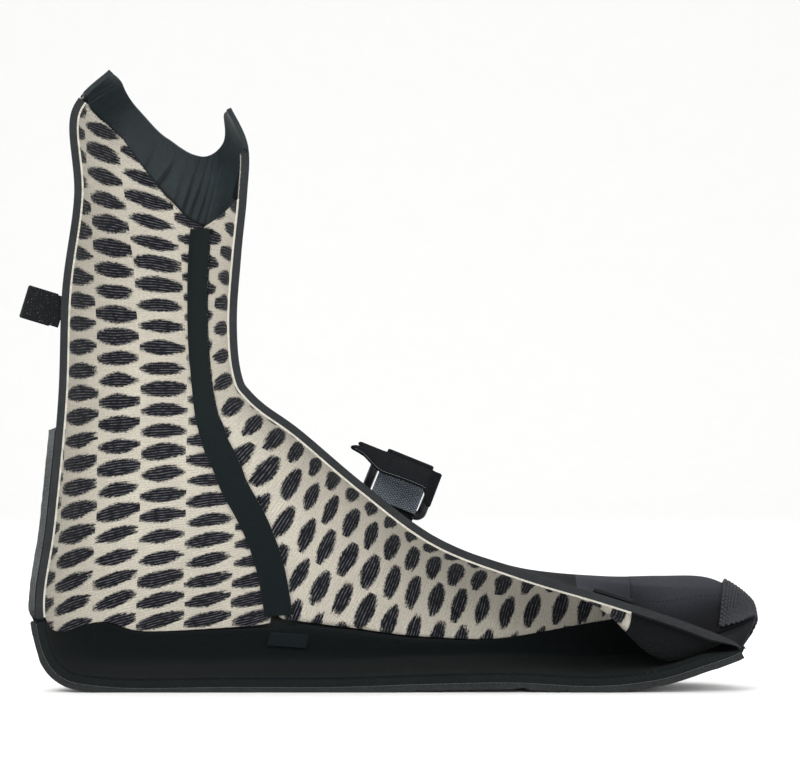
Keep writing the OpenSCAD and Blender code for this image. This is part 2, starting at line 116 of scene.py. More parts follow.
# how far this pack's boot differs from the one that the tables give, whose sizes these are
asDrawn = {"height": 249.2, "soleReach": 244.248, "cutDepth": -16}
tall = cadHigh.z / mm / asDrawn["height"]
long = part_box("sole_foam")[1].x / mm / asDrawn["soleReach"]
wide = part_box("sole_foam")[0].y / mm / asDrawn["cutDepth"]
cutY = asDrawn["cutDepth"] * wide
seamStart, collarStart, toeEnd = 7.7, 14.57, 3.5


def tableAt(table, s):
    # smooth value of a table at a fractional row, held at both ends
    table = np.asarray(table, float)
    last = len(table) - 1
    i = np.clip(np.floor(s).astype(int), 0, last - 1)
    t = np.clip(s, 0, last) - i
    a, b, c, d = (table[np.clip(i + k, 0, last)] for k in (-1, 0, 1, 2))
    t = t[..., None] if table.ndim > 1 else t
    return b + 0.5 * t * ((c - a) + t * ((2 * a - 5 * b + 4 * c - d) + t * (3 * b - a - 3 * c + d)))


def lineAt(line, s):
    line = np.array(line)
    return np.interp(s, line[:, 0], line[:, 1])


def bell(t):
    return np.where(np.abs(t) >= 1, 0, (1 - t * t) ** 2)


def softStep(low, high, x):
    t = np.clip((x - low) / (high - low), 0, 1)
    return t * t * (3 - 2 * t)


def bootFace(s, a):
    # outer face of the foam at station s and angle a, in millimetres
    s, a = np.broadcast_arrays(np.asarray(s, float), np.asarray(a, float))
    k = tableAt(stations, s)
    half, widest, top = k[..., 4] * wide, k[..., 5], a <= 90
    e = 2 / np.where(top, bootForm["upperSquare"], k[..., 6])
    b = np.radians(np.where(top, a, a - 90))
    sinB, cosB = np.maximum(np.sin(b), 0) ** e, np.maximum(np.cos(b), 0) ** e
    share = np.where(top, widest * (1 - cosB), widest + (1 - widest) * sinB)
    y = half * np.where(top, sinB, cosB)
    hump = np.where(top, bell((y - 0.56 * half) / (0.44 * half)), 0)
    split = np.where(top, bell((y - bootForm["splitY"] * wide) / (bootForm["splitReach"] * wide)), 0)
    x = k[..., 0] + (k[..., 2] - k[..., 0]) * share + tableAt(toeLead, s) * hump
    z = k[..., 1] + (k[..., 3] - k[..., 1]) * share + tableAt(toeRise, s) * hump
    z = z - tableAt(splitDepth, s) * split
    return np.stack([x * long, y + cutY, z * tall], -1)


def outward(s, a):
    b = np.clip(a, 1.5, 178.5)
    n = np.cross(bootFace(s, b + 1) - bootFace(s, b - 1), bootFace(s + 0.02, b) - bootFace(s - 0.02, b))
    return n / np.maximum(np.linalg.norm(n, axis=-1, keepdims=True), 1e-9)


def skinPoint(s, a, depth):
    # point at a depth under the foam's outer face; the cut edges stay in the cut plane
    s, a, depth = np.broadcast_arrays(np.asarray(s, float), np.asarray(a, float), np.asarray(depth, float))
    edge = (a < 0.01) | (a > 179.99)
    n = outward(s, a)
    flat = n * [1, 0, 1]
    flat /= np.maximum(np.linalg.norm(flat, axis=-1, keepdims=True), 1e-9)
    k = tableAt(stations, s)
    chord = np.hypot((k[..., 0] - k[..., 2]) * long, (k[..., 1] - k[..., 3]) * tall)
    thin = np.where(depth > 0, np.minimum(1, 0.38 * chord / 4.9), 1)
    p = bootFace(s, a) - np.where(edge[..., None], flat, n) * (depth * thin)[..., None]
    p[..., 1] = np.where(edge, cutY, p[..., 1])
    return p


def softNoise(points, size, seed=0):
    # smooth lattice noise from -1 to 1
    q = np.asarray(points) / size
    cell = np.floor(q).astype(np.int64)
    f = q - cell
    f = f * f * (3 - 2 * f)
    total = 0
    for corner in np.ndindex(*(2,) * q.shape[-1]):
        c = cell + np.array(corner)
        h = np.sin(c @ np.array([127.1, 311.7, 74.7])[:q.shape[-1]] + seed * 13.7) * 43758.5453
        total = total + np.prod(np.where(corner, f, 1 - f), -1) * ((h - np.floor(h)) * 2 - 1)
    return total


def soleSide(s):
    return np.minimum(tableAt(soleBorder, s), 180)


def rubberSide(s):
    return np.minimum(tableAt(rubberBorder, s), 180)


def seamSide(s):
    return tableAt(seamBorder, s - 7)


def angleFromCut(s, y):
    half = tableAt(stations, s)[..., 4] * wide
    return np.degrees(np.arcsin(np.minimum(y / half, 0.98) ** (bootForm["upperSquare"] / 2)))


def splitAngle(s):
    return angleFromCut(s, bootForm["splitY"] * wide)


def frontLimit(s, top):
    return np.where(s < seamStart, soleSide(s), np.where(s < collarStart, seamSide(s), lineAt(top, s)))


# each area turns a row's station and the share v across it into a station and an angle
gap = bootForm["seamGap"]


def rearArea(s, v):
    a0 = np.where(s < collarStart, seamSide(s), lineAt(collarBack, s)) + gap
    a1 = np.where(soleSide(s) >= 180, 180, soleSide(s) - gap)
    return s, a0 + (np.maximum(a1, a0 + 0.6) - a0) * v


def instepArea(s, v):
    return s, (frontLimit(s, collarFront) - gap) * v


def instepLiningArea(s, v):
    return s, (frontLimit(s, lapLine) - gap) * v


def soleArea(s, v):
    a0 = soleSide(s) + gap
    return s, a0 + (180 - a0) * v


def outsoleArea(s, v):
    return s, rubberSide(s) + (180 - rubberSide(s)) * v


def outerToeArea(s, v):
    return s, (splitAngle(s) - gap) * v


def bigToeArea(s, v):
    a0 = splitAngle(s) + gap
    return s, a0 + (soleSide(s) - gap - a0) * v


def counterArea(s, v):
    a0 = lineAt(counterLine, s)
    a1 = np.where(rubberSide(s) >= 180, 180, rubberSide(s) - 1.5)
    return s, a0 + (a1 - a0) * v


def bumperArea(s, v):
    a0 = splitAngle(s) + 1.2
    return s, a0 + (rubberSide(s) - 1.5 - a0) * v


def collarArea(u, v):
    a = 180 * v
    low, rim = tableAt(collarLow, a / 15) + 0.04, tableAt(collarRim, a / 15)
    return low + (rim - low) * u, a


def collarBandArea(u, v):
    # a strip inside the collar seam, which closes it where the panels' edges bend
    a = 1 + 178 * v
    return tableAt(collarLow, a / 15) - 0.26 + 0.42 * u, a


def collarLapArea(u, v):
    a = 26 * v
    return 14.98 + (tableAt(collarLow, a / 15) - 0.06 - 14.98) * u, a


def webbingArea(u, v):
    s = ringForm["station"] + ringForm["webbingHalf"] * (2 * u - 1)
    return s, ringForm["webbingTop"] + (rubberSide(s) - 3 - ringForm["webbingTop"]) * v


def patchArea(u, v):
    s = 7.35 + 0.4 * u
    return s, soleSide(s) + 1.5 + 7.5 * v


def stayArea(u, v):
    return toeEnd + 0.02 + 0.58 * u, 7 * v


def tabStayArea(u, v):
    return 13.59 + 0.42 * u, 150 + 14 * v


def tapeArea(s, v):
    # the tape keeps its width square to the seam
    a, d = seamSide(s), 0.05
    along = bootFace(s + d, seamSide(s + d)) - bootFace(s - d, seamSide(s - d))
    byStation = (bootFace(s + d, a) - bootFace(s - d, a)) / (2 * d)
    byAngle = bootFace(s, a + 0.5) - bootFace(s, a - 0.5)
    n = outward(s, a)
    step = np.cross(along, n)
    step *= (bootForm["tapeWidth"] * (v - 0.5) / np.linalg.norm(step, axis=-1))[..., None]
    roundA, up = np.cross(byAngle, n), np.cross(byStation, n)
    return (s + (step * roundA).sum(-1) / (byStation * roundA).sum(-1),
            a + (step * up).sum(-1) / (byAngle * up).sum(-1))


def srgb(r, g, b):
    # display colour, 0 to 255, as scene values
    return tuple(((c / 255 + 0.055) / 1.055) ** 2.4 if c > 10 else c / 255 / 12.92 for c in (r, g, b)) + (1,)


def feed(tree, socket, value):
    if isinstance(value, bpy.types.NodeSocket):
        tree.links.new(value, socket)
    elif value is not None:
        socket.default_value = value


def addNode(tree, kind, inputs=None, **settings):
    new = tree.nodes.new(kind)
    for key, value in settings.items():
        setattr(new, key, value)
    for key, value in (inputs or {}).items():
        feed(tree, new.inputs[key], value)
    return new


def outOf(tree, kind, inputs=None, **settings):
    return addNode(tree, kind, inputs, **settings).outputs[0]


def calc(tree, operation, a, b=None, c=None, clamp=False):
    return outOf(tree, "ShaderNodeMath", {0: a, 1: b, 2: c}, operation=operation, use_clamp=clamp)


def times(tree, a, b):
    return calc(tree, "MULTIPLY", a, b)


def plus(tree, a, b, clamp=False):
    return calc(tree, "ADD", a, b, clamp=clamp)


def minus(tree, a, b):
    return calc(tree, "SUBTRACT", a, b)


def noiseOf(tree, vector, scale, detail=3.0, rough=0.55):
    return addNode(tree, "ShaderNodeTexNoise",
                   {"Vector": vector, "Scale": scale, "Detail": detail, "Roughness": rough}).outputs["Fac"]


def stepOf(tree, value, low, high, toLow=0.0, toHigh=1.0):
    return addNode(tree, "ShaderNodeMapRange", {"Value": value, "From Min": low, "From Max": high,
                   "To Min": toLow, "To Max": toHigh}, interpolation_type="SMOOTHSTEP").outputs["Result"]


def blendOf(tree, share, a, b, kind="MIX"):
    new = tree.nodes.new("ShaderNodeMix")
    new.data_type, new.blend_type = "RGBA", kind
    feed(tree, new.inputs[0], share)
    feed(tree, new.inputs[6], a)
    feed(tree, new.inputs[7], b)
    return new.outputs[2]


def bumpOf(tree, height, distance, strength=1.0, under=None):
    return outOf(tree, "ShaderNodeBump", {"Height": height, "Distance": distance, "Strength": strength,
                                            "Normal": under})


def startMaterial(name, **values):
    material = bpy.data.materials.new(name)
    material.use_nodes = True
    tree = material.node_tree
    shader = tree.nodes["Principled BSDF"]
    for key, value in values.items():
        shader.inputs[key.replace("_", " ")].default_value = value
    return material, tree, shader


def placeOf(tree, flat=False):
    # the piece's own flat pattern coordinates, or its place in space
    if flat:
        return outOf(tree, "ShaderNodeUVMap", uv_map="pattern")
    return addNode(tree, "ShaderNodeTexCoord").outputs["Object"]


def splitOf(tree, vector):
    new = addNode(tree, "ShaderNodeSeparateXYZ", {0: vector})
    return new.outputs[0], new.outputs[1]


# pile lining: woven ovals in half-dropped columns, with serrated ends and fine course lines
pileForm = {
    "rear": {"columnPitch": 19.6, "rowPitch": 8.9, "ovalLength": 20.5, "ovalHeight": 6.5},
    "instep": {"columnPitch": 17.0, "rowPitch": 9.7, "ovalLength": 17.5, "ovalHeight": 6.0},
    "course": 1.1, "raggedEnds": 2.2, "raggedSides": 0.75,
}


def pileLining(name, form):
    material, tree, shader = startMaterial(name, Roughness=0.95, Specular_IOR_Level=0.08, Sheen_Weight=0.06,
                                           Sheen_Roughness=0.6)
    uv = placeOf(tree, True)
    drift = addNode(tree, "ShaderNodeTexNoise", {"Vector": uv, "Scale": 60.0, "Detail": 1.0})
    moved = outOf(tree, "ShaderNodeVectorMath", {0: drift.outputs["Color"], 1: (0.5, 0.5, 0.5)},
                    operation="SUBTRACT")
    moved = outOf(tree, "ShaderNodeVectorMath", {0: moved, "Scale": 0.0022}, operation="SCALE")
    bent = outOf(tree, "ShaderNodeVectorMath", {0: uv, 1: moved}, operation="ADD")
    q, r = splitOf(tree, bent)
    column = times(tree, q, 1000 / form["columnPitch"])
    columnNumber = calc(tree, "FLOOR", column)
    drop = times(tree, calc(tree, "FLOORED_MODULO", columnNumber, 2.0), 0.5)
    row = calc(tree, "MULTIPLY_ADD", r, 1000 / form["rowPitch"], drop)
    rowNumber = calc(tree, "FLOOR", row)
    cell = outOf(tree, "ShaderNodeCombineXYZ", {0: columnNumber, 1: rowNumber})
    cellChance = outOf(tree, "ShaderNodeTexWhiteNoise", {"Vector": cell}, noise_dimensions="2D")
    course = times(tree, r, 1000 / pileForm["course"])
    courseNumber = calc(tree, "MULTIPLY_ADD", columnNumber, 37.0, calc(tree, "FLOOR", course))
    courseChance = outOf(tree, "ShaderNodeTexWhiteNoise", {"W": courseNumber}, noise_dimensions="1D")
    shift = times(tree, minus(tree, courseChance, 0.5), pileForm["raggedEnds"])
    x = times(tree, minus(tree, calc(tree, "FRACT", column), 0.5), form["columnPitch"])
    x = plus(tree, calc(tree, "ABSOLUTE", plus(tree, x, times(tree, shift, 0.3))), shift)
    y = times(tree, minus(tree, calc(tree, "FRACT", row), 0.5), form["rowPitch"])
    grow = calc(tree, "MULTIPLY_ADD", cellChance, 0.22, 0.88)
    x = calc(tree, "DIVIDE", calc(tree, "ABSOLUTE", x), times(tree, grow, form["ovalLength"] / 2))
    x = calc(tree, "POWER", x, 1.6)
    y = calc(tree, "DIVIDE", calc(tree, "ABSOLUTE", y), times(tree, grow, form["ovalHeight"] / 2))
    y = calc(tree, "POWER", y, 1.7)
    stretched = outOf(tree, "ShaderNodeVectorMath", {0: uv, 1: (700.0, 1900.0, 1.0)}, operation="MULTIPLY")
    tuft = noiseOf(tree, stretched, 1.0, 4.0, 0.7)
    far = plus(tree, plus(tree, x, y), times(tree, minus(tree, tuft, 0.5),
                                                            pileForm["raggedSides"] * 2.2))
    dark = stepOf(tree, far, 1.26, 0.80)
    thread = stepOf(tree, calc(tree, "ABSOLUTE", minus(tree, calc(tree, "FRACT", course), 0.5)), 0.25, 0.5)
    worn = stepOf(tree, noiseOf(tree, stretched, 0.5, 3.0), 0.36, 0.66, 0.05, 0.85)
    threadShow = times(tree, thread, worn)
    darkTone = blendOf(tree, threadShow, srgb(12, 14, 22), srgb(120, 120, 124))
    lightTone = blendOf(tree, noiseOf(tree, uv, 1100.0, 3.0, 0.7), srgb(150, 144, 132), srgb(236, 230, 214))
    shade = noiseOf(tree, uv, 70.0, 2.0)
    lightTone = blendOf(tree, stepOf(tree, shade, 0.3, 0.75, 0.0, 0.35), lightTone, srgb(176, 170, 160))
    fleck = stepOf(tree, noiseOf(tree, stretched, 1.7, 2.0, 0.8), 0.66, 0.76, 0.0, 0.5)
    lightTone = blendOf(tree, fleck, lightTone, srgb(70, 70, 76))
    feed(tree, shader.inputs["Base Color"], blendOf(tree, dark, lightTone, darkTone))
    pile = plus(tree, noiseOf(tree, stretched, 1.3, 5.0, 0.75), times(tree, thread, -0.35))
    feed(tree, shader.inputs["Normal"], bumpOf(tree, pile, 0.0008, 0.9))
    return material


def knitFabric(name, dark, light, rib, fleck=0.0, sheen=0.03, rough=0.9, lift=0.0003, paintedShadeReach=0):
    # jersey: wales one way, courses across, a little lint, and painted shade that fades out from its first
    # edge
    material, tree, shader = startMaterial(name, Roughness=rough, Specular_IOR_Level=0.12,
                                           Sheen_Weight=sheen, Sheen_Roughness=0.5)
    uv = placeOf(tree, True)
    u, v = splitOf(tree, uv)
    wale = calc(tree, "SINE", times(tree, u, 2 * math.pi / (rib * mm)))
    lean = calc(tree, "MULTIPLY_ADD", wale, 0.9, times(tree, v, 2 * math.pi / (rib * 0.8 * mm)))
    loops = plus(tree, times(tree, wale, 0.5), times(tree, calc(tree, "SINE", lean), 0.5))
    grain = noiseOf(tree, uv, 900.0, 4.0, 0.7)
    tone = plus(tree, stepOf(tree, loops, -1.0, 1.0, 0.0, 0.5), times(tree, grain, 0.6))
    color = blendOf(tree, tone, dark, light)
    if fleck:
        color = blendOf(tree, stepOf(tree, noiseOf(tree, uv, 2600.0, 1.0), 0.74, 0.80, 0.0, fleck), color,
                        srgb(165, 168, 168))
    # painted shade: darkens the piece towards its first edge, where the split's shadow falls
    if paintedShadeReach:
        shade = stepOf(tree, u, 0.1 * paintedShadeReach * mm, paintedShadeReach * mm, 0.92, 0.0)
        color = blendOf(tree, shade, color, srgb(6, 6, 8))
    feed(tree, shader.inputs["Base Color"], color)
    feed(tree, shader.inputs["Normal"], bumpOf(tree, plus(tree, loops, grain), lift, 0.8))
    return material


def cutFoam(name, dark, light, cell=0.35, rough=0.85):
    # cut closed-cell foam: pores, faint knife lines and small snags
    material, tree, shader = startMaterial(name, Roughness=rough, Specular_IOR_Level=0.12)
    place = placeOf(tree)
    pores = outOf(tree, "ShaderNodeTexVoronoi", {"Vector": place, "Scale": 1000 / cell})
    cloud = noiseOf(tree, place, 220.0, 4.0, 0.7)
    tone = plus(tree, times(tree, cloud, 0.7), times(tree, pores, 0.5), clamp=True)
    color = blendOf(tree, tone, dark, light)
    snag = stepOf(tree, noiseOf(tree, place, 95.0, 2.0, 0.8), 0.70, 0.76, 0.0, 0.7)
    feed(tree, shader.inputs["Base Color"], blendOf(tree, snag, color, srgb(18, 19, 20)))
    feed(tree, shader.inputs["Normal"], bumpOf(tree, plus(tree, pores, cloud), 0.0004, 0.7))
    return material


def moulded(name, dark, light, rough, grain, lift, gloss=0.25):
    # moulded rubber: fine grain, scuffs on the high places
    material, tree, shader = startMaterial(name, Roughness=rough, Specular_IOR_Level=gloss)
    place = placeOf(tree)
    fine = noiseOf(tree, place, 1000 / grain, 5.0, 0.65)
    cloud = noiseOf(tree, place, 55.0, 4.0, 0.6)
    tone = plus(tree, times(tree, fine, 0.6), times(tree, cloud, 0.5))
    feed(tree, shader.inputs["Base Color"], blendOf(tree, stepOf(tree, tone, 0.3, 0.8), dark, light))
    feed(tree, shader.inputs["Roughness"], stepOf(tree, cloud, 0.3, 0.7, rough - 0.08, rough + 0.1))
    feed(tree, shader.inputs["Normal"], bumpOf(tree, fine, lift, 0.7))
    return material


def wovenWebbing(name, dark, light, thread, lift, fleck):
    # plain weave from two crossed waves, in the piece's own flat coordinates
    material, tree, shader = startMaterial(name, Roughness=0.75, Specular_IOR_Level=0.15)
    uv = placeOf(tree, True)
    u, v = splitOf(tree, uv)
    across = calc(tree, "SINE", times(tree, u, math.pi / (thread * mm)))
    along = calc(tree, "SINE", times(tree, v, math.pi / (thread * 0.62 * mm)))
    weave = times(tree, across, along)
    rib = calc(tree, "ABSOLUTE", across)
    stretched = outOf(tree, "ShaderNodeVectorMath", {0: uv, 1: (3.0, 1.0, 1.0)}, operation="MULTIPLY")
    fibre = noiseOf(tree, stretched, 1200.0, 3.0, 0.7)
    height = plus(tree, times(tree, weave, 0.5), times(tree, rib, 0.4))
    tone = plus(tree, stepOf(tree, height, -0.3, 0.9, 0.0, 0.7), times(tree, fibre, 0.4))
    color = blendOf(tree, tone, dark, light)
    spark = stepOf(tree, noiseOf(tree, uv, 1500.0, 1.0), 0.66, 0.74, 0.0, fleck)
    feed(tree, shader.inputs["Base Color"], blendOf(tree, spark, color, srgb(150, 152, 156)))
    feed(tree, shader.inputs["Normal"], bumpOf(tree, plus(tree, height, times(tree, fibre, 0.5)), lift, 0.9))
    return material


def hookPile(name):
    material, tree, shader = startMaterial(name, Roughness=0.95, Specular_IOR_Level=0.06)
    place = placeOf(tree)
    tufts = addNode(tree, "ShaderNodeTexVoronoi", {"Vector": place, "Scale": 1500.0}).outputs["Distance"]
    fuzz = noiseOf(tree, place, 1900.0, 5.0, 0.8)
    feed(tree, shader.inputs["Base Color"], blendOf(tree, fuzz, srgb(3, 4, 5), srgb(34, 36, 40)))
    feed(tree, shader.inputs["Normal"], bumpOf(tree, plus(tree, tufts, fuzz), 0.0009, 1.0))
    return material


def smoothSkin(name):
    # glassy-smooth neoprene skin, a little green, with very fine wrinkles and painted shade in the gathers'
    # creases
    material, tree, shader = startMaterial(name, Roughness=0.5, Specular_IOR_Level=0.22)
    place = placeOf(tree)
    cloud = noiseOf(tree, place, 38.0, 4.0, 0.6)
    fine = noiseOf(tree, place, 900.0, 4.0, 0.6)
    tone = plus(tree, times(tree, cloud, 0.8), times(tree, fine, 0.3))
    paintedCreaseShade = times(tree, splitOf(tree, placeOf(tree, True))[0], 1000.0)
    color = blendOf(tree, stepOf(tree, tone, 0.3, 0.8), srgb(18, 25, 28), srgb(34, 44, 47))
    # painted shade: darker where the gathers' creases are deep
    color = blendOf(tree, stepOf(tree, paintedCreaseShade, 0.1, 0.75, 0.0, 0.85), color, srgb(5, 7, 9))
    feed(tree, shader.inputs["Base Color"], color)
    feed(tree, shader.inputs["Roughness"], stepOf(tree, cloud, 0.3, 0.7, 0.46, 0.62))
    wrinkle = plus(tree, fine, times(tree, noiseOf(tree, place, 210.0, 3.0), 1.5))
    feed(tree, shader.inputs["Normal"], bumpOf(tree, wrinkle, 0.0002, 0.6))
    return material


def spunThread(name, dark, light):
    material, tree, shader = startMaterial(name, Roughness=0.8, Specular_IOR_Level=0.15)
    place = placeOf(tree)
    feed(tree, shader.inputs["Base Color"], blendOf(tree, noiseOf(tree, place, 1400.0, 3.0), dark, light))
    feed(tree, shader.inputs["Normal"], bumpOf(tree, noiseOf(tree, place, 3000.0, 3.0), 0.0002, 0.6))
    return material


finishes = {
    "rearPile": pileLining("rear pile lining", pileForm["rear"]),
    "instepPile": pileLining("instep pile lining", pileForm["instep"]),
    "liningEdge": knitFabric("lining cut edge", srgb(150, 146, 136), srgb(240, 236, 222), 0.5, 0.0,
                             0.1, 0.95, 0.0004),
    "blackKnit": knitFabric("black footbed knit", srgb(3, 7, 9), srgb(13, 20, 22), 0.62, 0.22),
    "toeKnit": knitFabric("black toe lining knit", srgb(2, 5, 6), srgb(13, 17, 19), 0.7, 0.2),
    "tapeKnit": knitFabric("seam tape knit", srgb(8, 15, 17), srgb(25, 35, 37), 0.5, 0.14),
    "shellKnit": knitFabric("shell jersey", srgb(10, 11, 12), srgb(34, 36, 39), 0.55, 0.05),
    "toeSkin": knitFabric("toe jersey", srgb(26, 28, 33), srgb(60, 62, 70), 0.45, 0.03, 0.05, 0.7),
    # the big toe's jersey, with painted shade that deepens towards the split
    "toeSkinInside": knitFabric("toe jersey in the split", srgb(26, 28, 33), srgb(64, 66, 74), 0.45, 0.03,
                                0.05, 0.7, paintedShadeReach=26.0),
    # painted shade: the outer toe piece's jersey is darkened all over, standing in for the shadow in the
    # split where it lies
    "splitShadowSkin": knitFabric("dark toe jersey", srgb(5, 6, 8), srgb(24, 26, 30), 0.45, 0.03),
    "cutFoam": cutFoam("cut foam edge", srgb(24, 26, 28), srgb(50, 52, 54)),
    "soleFoam": cutFoam("cut sole foam", srgb(6, 9, 10), srgb(24, 28, 29), 0.5),
    "soleRubber": moulded("outsole rubber", srgb(10, 12, 12), srgb(40, 43, 44), 0.75, 0.9, 0.0006),
    "heelRubber": moulded("heel rubber", srgb(30, 33, 33), srgb(84, 88, 88), 0.78, 0.8, 0.0008),
    "toeRubber": moulded("toe cap rubber", srgb(14, 15, 18), srgb(50, 52, 58), 0.6, 0.8, 0.0003),
    "smoothSkin": smoothSkin("collar smooth skin"),
    "webbing": wovenWebbing("tab webbing", srgb(4, 5, 6), srgb(26, 28, 31), 0.9, 0.0006, 0.4),
    "strapWeave": wovenWebbing("strap weave", srgb(30, 35, 41), srgb(150, 160, 170), 0.85, 0.0006, 0.7),
    "hookPile": hookPile("hook pile"),
    "ringPlastic": moulded("ring plastic", srgb(20, 22, 25), srgb(44, 47, 52), 0.34, 1.2, 0.00012, 0.5),
    "lightThread": spunThread("light thread", srgb(150, 148, 140), srgb(232, 228, 216)),
    "greyThread": spunThread("grey thread", srgb(56, 60, 64), srgb(128, 132, 134)),
    "blackThread": spunThread("black thread", srgb(10, 11, 13), srgb(44, 46, 52)),
}
print("materials made")


def asObject(name, points, faces, materials, picks=None, uvs=None, rough=()):
    # points come in millimetres; picks gives each face its material, rough lists the flat faces
    mesh = bpy.data.meshes.new(name)
    mesh.from_pydata((np.asarray(points) * mm).tolist(), [], faces)
    for one in materials:
        mesh.materials.append(one)
    smooth = np.ones(len(faces), bool)
    smooth[list(rough)] = False
    mesh.polygons.foreach_set("use_smooth", smooth)
    if picks is not None:
        mesh.polygons.foreach_set("material_index", np.asarray(picks, np.int32))
    if uvs is not None:
        layer = mesh.uv_layers.new(name="pattern")
        loops = np.zeros(len(mesh.loops), np.int32)
        mesh.loops.foreach_get("vertex_index", loops)
        layer.data.foreach_set("uv", (np.asarray(uvs)[loops] * mm).astype(np.float32).ravel())
    mesh.update()
    new = bpy.data.objects.new(name, mesh)
    bpy.context.scene.collection.objects.link(new)
    return new


def closedGrid(outer, inner):
    # vertices and outward quads of a closed sheet between two grids of points
    rows, cols = outer.shape[0], outer.shape[1]
    points = np.concatenate([outer.reshape(-1, 3), inner.reshape(-1, 3)])
    k = np.arange(rows * cols).reshape(rows, cols)
    low = rows * cols
    top = np.stack([k[:-1, :-1], k[:-1, 1:], k[1:, 1:], k[1:, :-1]], -1).reshape(-1, 4)
    under = np.stack([k[:-1, :-1], k[1:, :-1], k[1:, 1:], k[:-1, 1:]], -1).reshape(-1, 4) + low
    walls = []
    for line, turn in ((k[:, 0], 1), (k[:, -1], -1), (k[0, :], -1), (k[-1, :], 1)):
        a, b = (line[:-1], line[1:]) if turn > 0 else (line[1:], line[:-1])
        walls.append(np.stack([a, b, b + low, a + low], -1))
    walls = np.concatenate(walls)
    return points, np.concatenate([top, under, walls]), len(top), len(under), len(walls)


def turnOut(points, faces):
    # flips every face if the closed shape is inside out
    p = points[faces]
    volume = (np.cross(p[:, 1] - p[:, 0], p[:, 2] - p[:, 0]) * p[:, 0]).sum() + (
        np.cross(p[:, 2] - p[:, 0], p[:, 3] - p[:, 0]) * p[:, 0]).sum()
    return faces if volume > 0 else faces[:, ::-1]


def lengthMap(grid):
    # flat coordinates from lengths along and across the grid
    middle = grid[:, grid.shape[1] // 2]
    along = np.concatenate([[0], np.cumsum(np.linalg.norm(np.diff(middle, axis=0), axis=-1))])
    across = np.cumsum(np.linalg.norm(np.diff(grid, axis=1), axis=-1), axis=1)
    across = np.concatenate([np.zeros((len(grid), 1)), across], 1)
    return np.stack([across, np.repeat(along[:, None], grid.shape[1], 1)], -1)


def threeOf(materials):
    return [materials] * 3 if isinstance(materials, str) else materials


def sewnSheet(node, slot, area, rows, across, finer, outer, inner, materials, relief=None, mapping=None,
              floor=None, body="boot", skinFrom=None):
    # a closed sheet of the boot; materials are for its outer face, inner face and cut walls, or one for all
    materials = threeOf(materials)
    steps = len(rows) - 1
    u = np.interp(np.linspace(0, steps, steps * finer + 1), np.arange(steps + 1), rows)
    v = np.linspace(0, 1, across + 1)
    s, a = area(*np.meshgrid(u, v, indexing="ij"))
    extraOut, extraIn = relief(s, a, v[None, :]) if relief else (0, 0)
    top = skinPoint(s, a, outer - extraOut)
    low = skinPoint(s, a, inner - extraIn)
    if floor is not None:
        top[..., 2] = np.maximum(top[..., 2], floor)
    flat = mapping(s, a, low) if mapping else lengthMap(bootFace(s, a))
    points, faces, nTop, nUnder, nWall = closedGrid(top, low)
    faces = turnOut(points, faces)
    picks = np.repeat([0, 1, 2], [nTop, nUnder, nWall])
    if skinFrom:
        picks[(picks == 0) & (points[faces][..., 0].min(-1) > skinFrom * long)] = 3
    hidden = points[faces][..., 1].max(-1) > cutY + 0.01
    picks[(picks == 2) & hidden] = len(materials) - 1
    uvs = np.concatenate([flat.reshape(-1, 2)] * 2)
    name = "".join(w if i == 0 else w.capitalize() for i, w in enumerate(node.split("_")))
    new = asObject(name, points, faces.tolist(), [finishes[m] for m in materials], picks, uvs,
                   range(nTop + nUnder, nTop + nUnder + nWall))
    return dress(new, slot, body, *([node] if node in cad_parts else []))


def dress(piece, slot, body, *nodes):
    if body:
        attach(piece, body)
    if nodes:
        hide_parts(*nodes)
    return piece


# how deep seams sit, and how the boot's outside waves a little between them
shellForm = {"seamGroove": 0.55, "seamReach": 0.05, "wave": 0.35, "collarFold": 1.0, "treadDepth": 0.9,
             "treadPitch": 7.5, "pileWave": 0.22}


def shellRelief(s, a, v):
    p = bootFace(s, a)
    groove = np.exp(-(np.minimum(v, 1 - v) / shellForm["seamReach"]) ** 2) * shellForm["seamGroove"]
    groove = groove * softStep(0.5, 6, a) * softStep(0.5, 6, 180 - a)
    wave = softNoise(p, 17.0, 3) * shellForm["wave"] * softStep(0, 12, a) * softStep(0, 12, 180 - a)
    return -groove + wave, 0


def toeShellRelief(s, a, v):
    # a welt where the toe's top piece is sewn to its side
    out, under = shellRelief(s, a, v)
    seam = sideSeamAngle(s)
    welt = 0.5 * np.exp(-((a - seam - 1.5) / 1.2) ** 2)
    return out * 0.6 + welt - 0.5 * np.exp(-((a - seam) / 0.8) ** 2), under


def sideSeamAngle(s):
    return splitAngle(s) + np.interp(s, [0, 1, 2, 3, 3.5], [6.5, 6, 4.5, 3.2, 2.4])


def tapeRelief(s, a, v):
    rolled = -0.25 * np.exp(-(np.minimum(v, 1 - v) / 0.06) ** 2)
    return 0, rolled + 0.08 * softNoise(bootFace(s, a), 5.0)


def pileRelief(s, a, v):
    p = bootFace(s, a)
    return 0, softNoise(p, 9.0, 5) * shellForm["pileWave"] * softStep(0, 8, a) * softStep(0, 8, 180 - a)


def footbedRelief(s, a, v):
    # slack wrinkles across the insole knit
    p = bootFace(s, a)
    wrinkle = softNoise(p * [1, 0.35, 1], 14.0, 8) * 0.5
    return 0, wrinkle * softStep(0, 14, 180 - a) * softStep(0, 0.12, v)


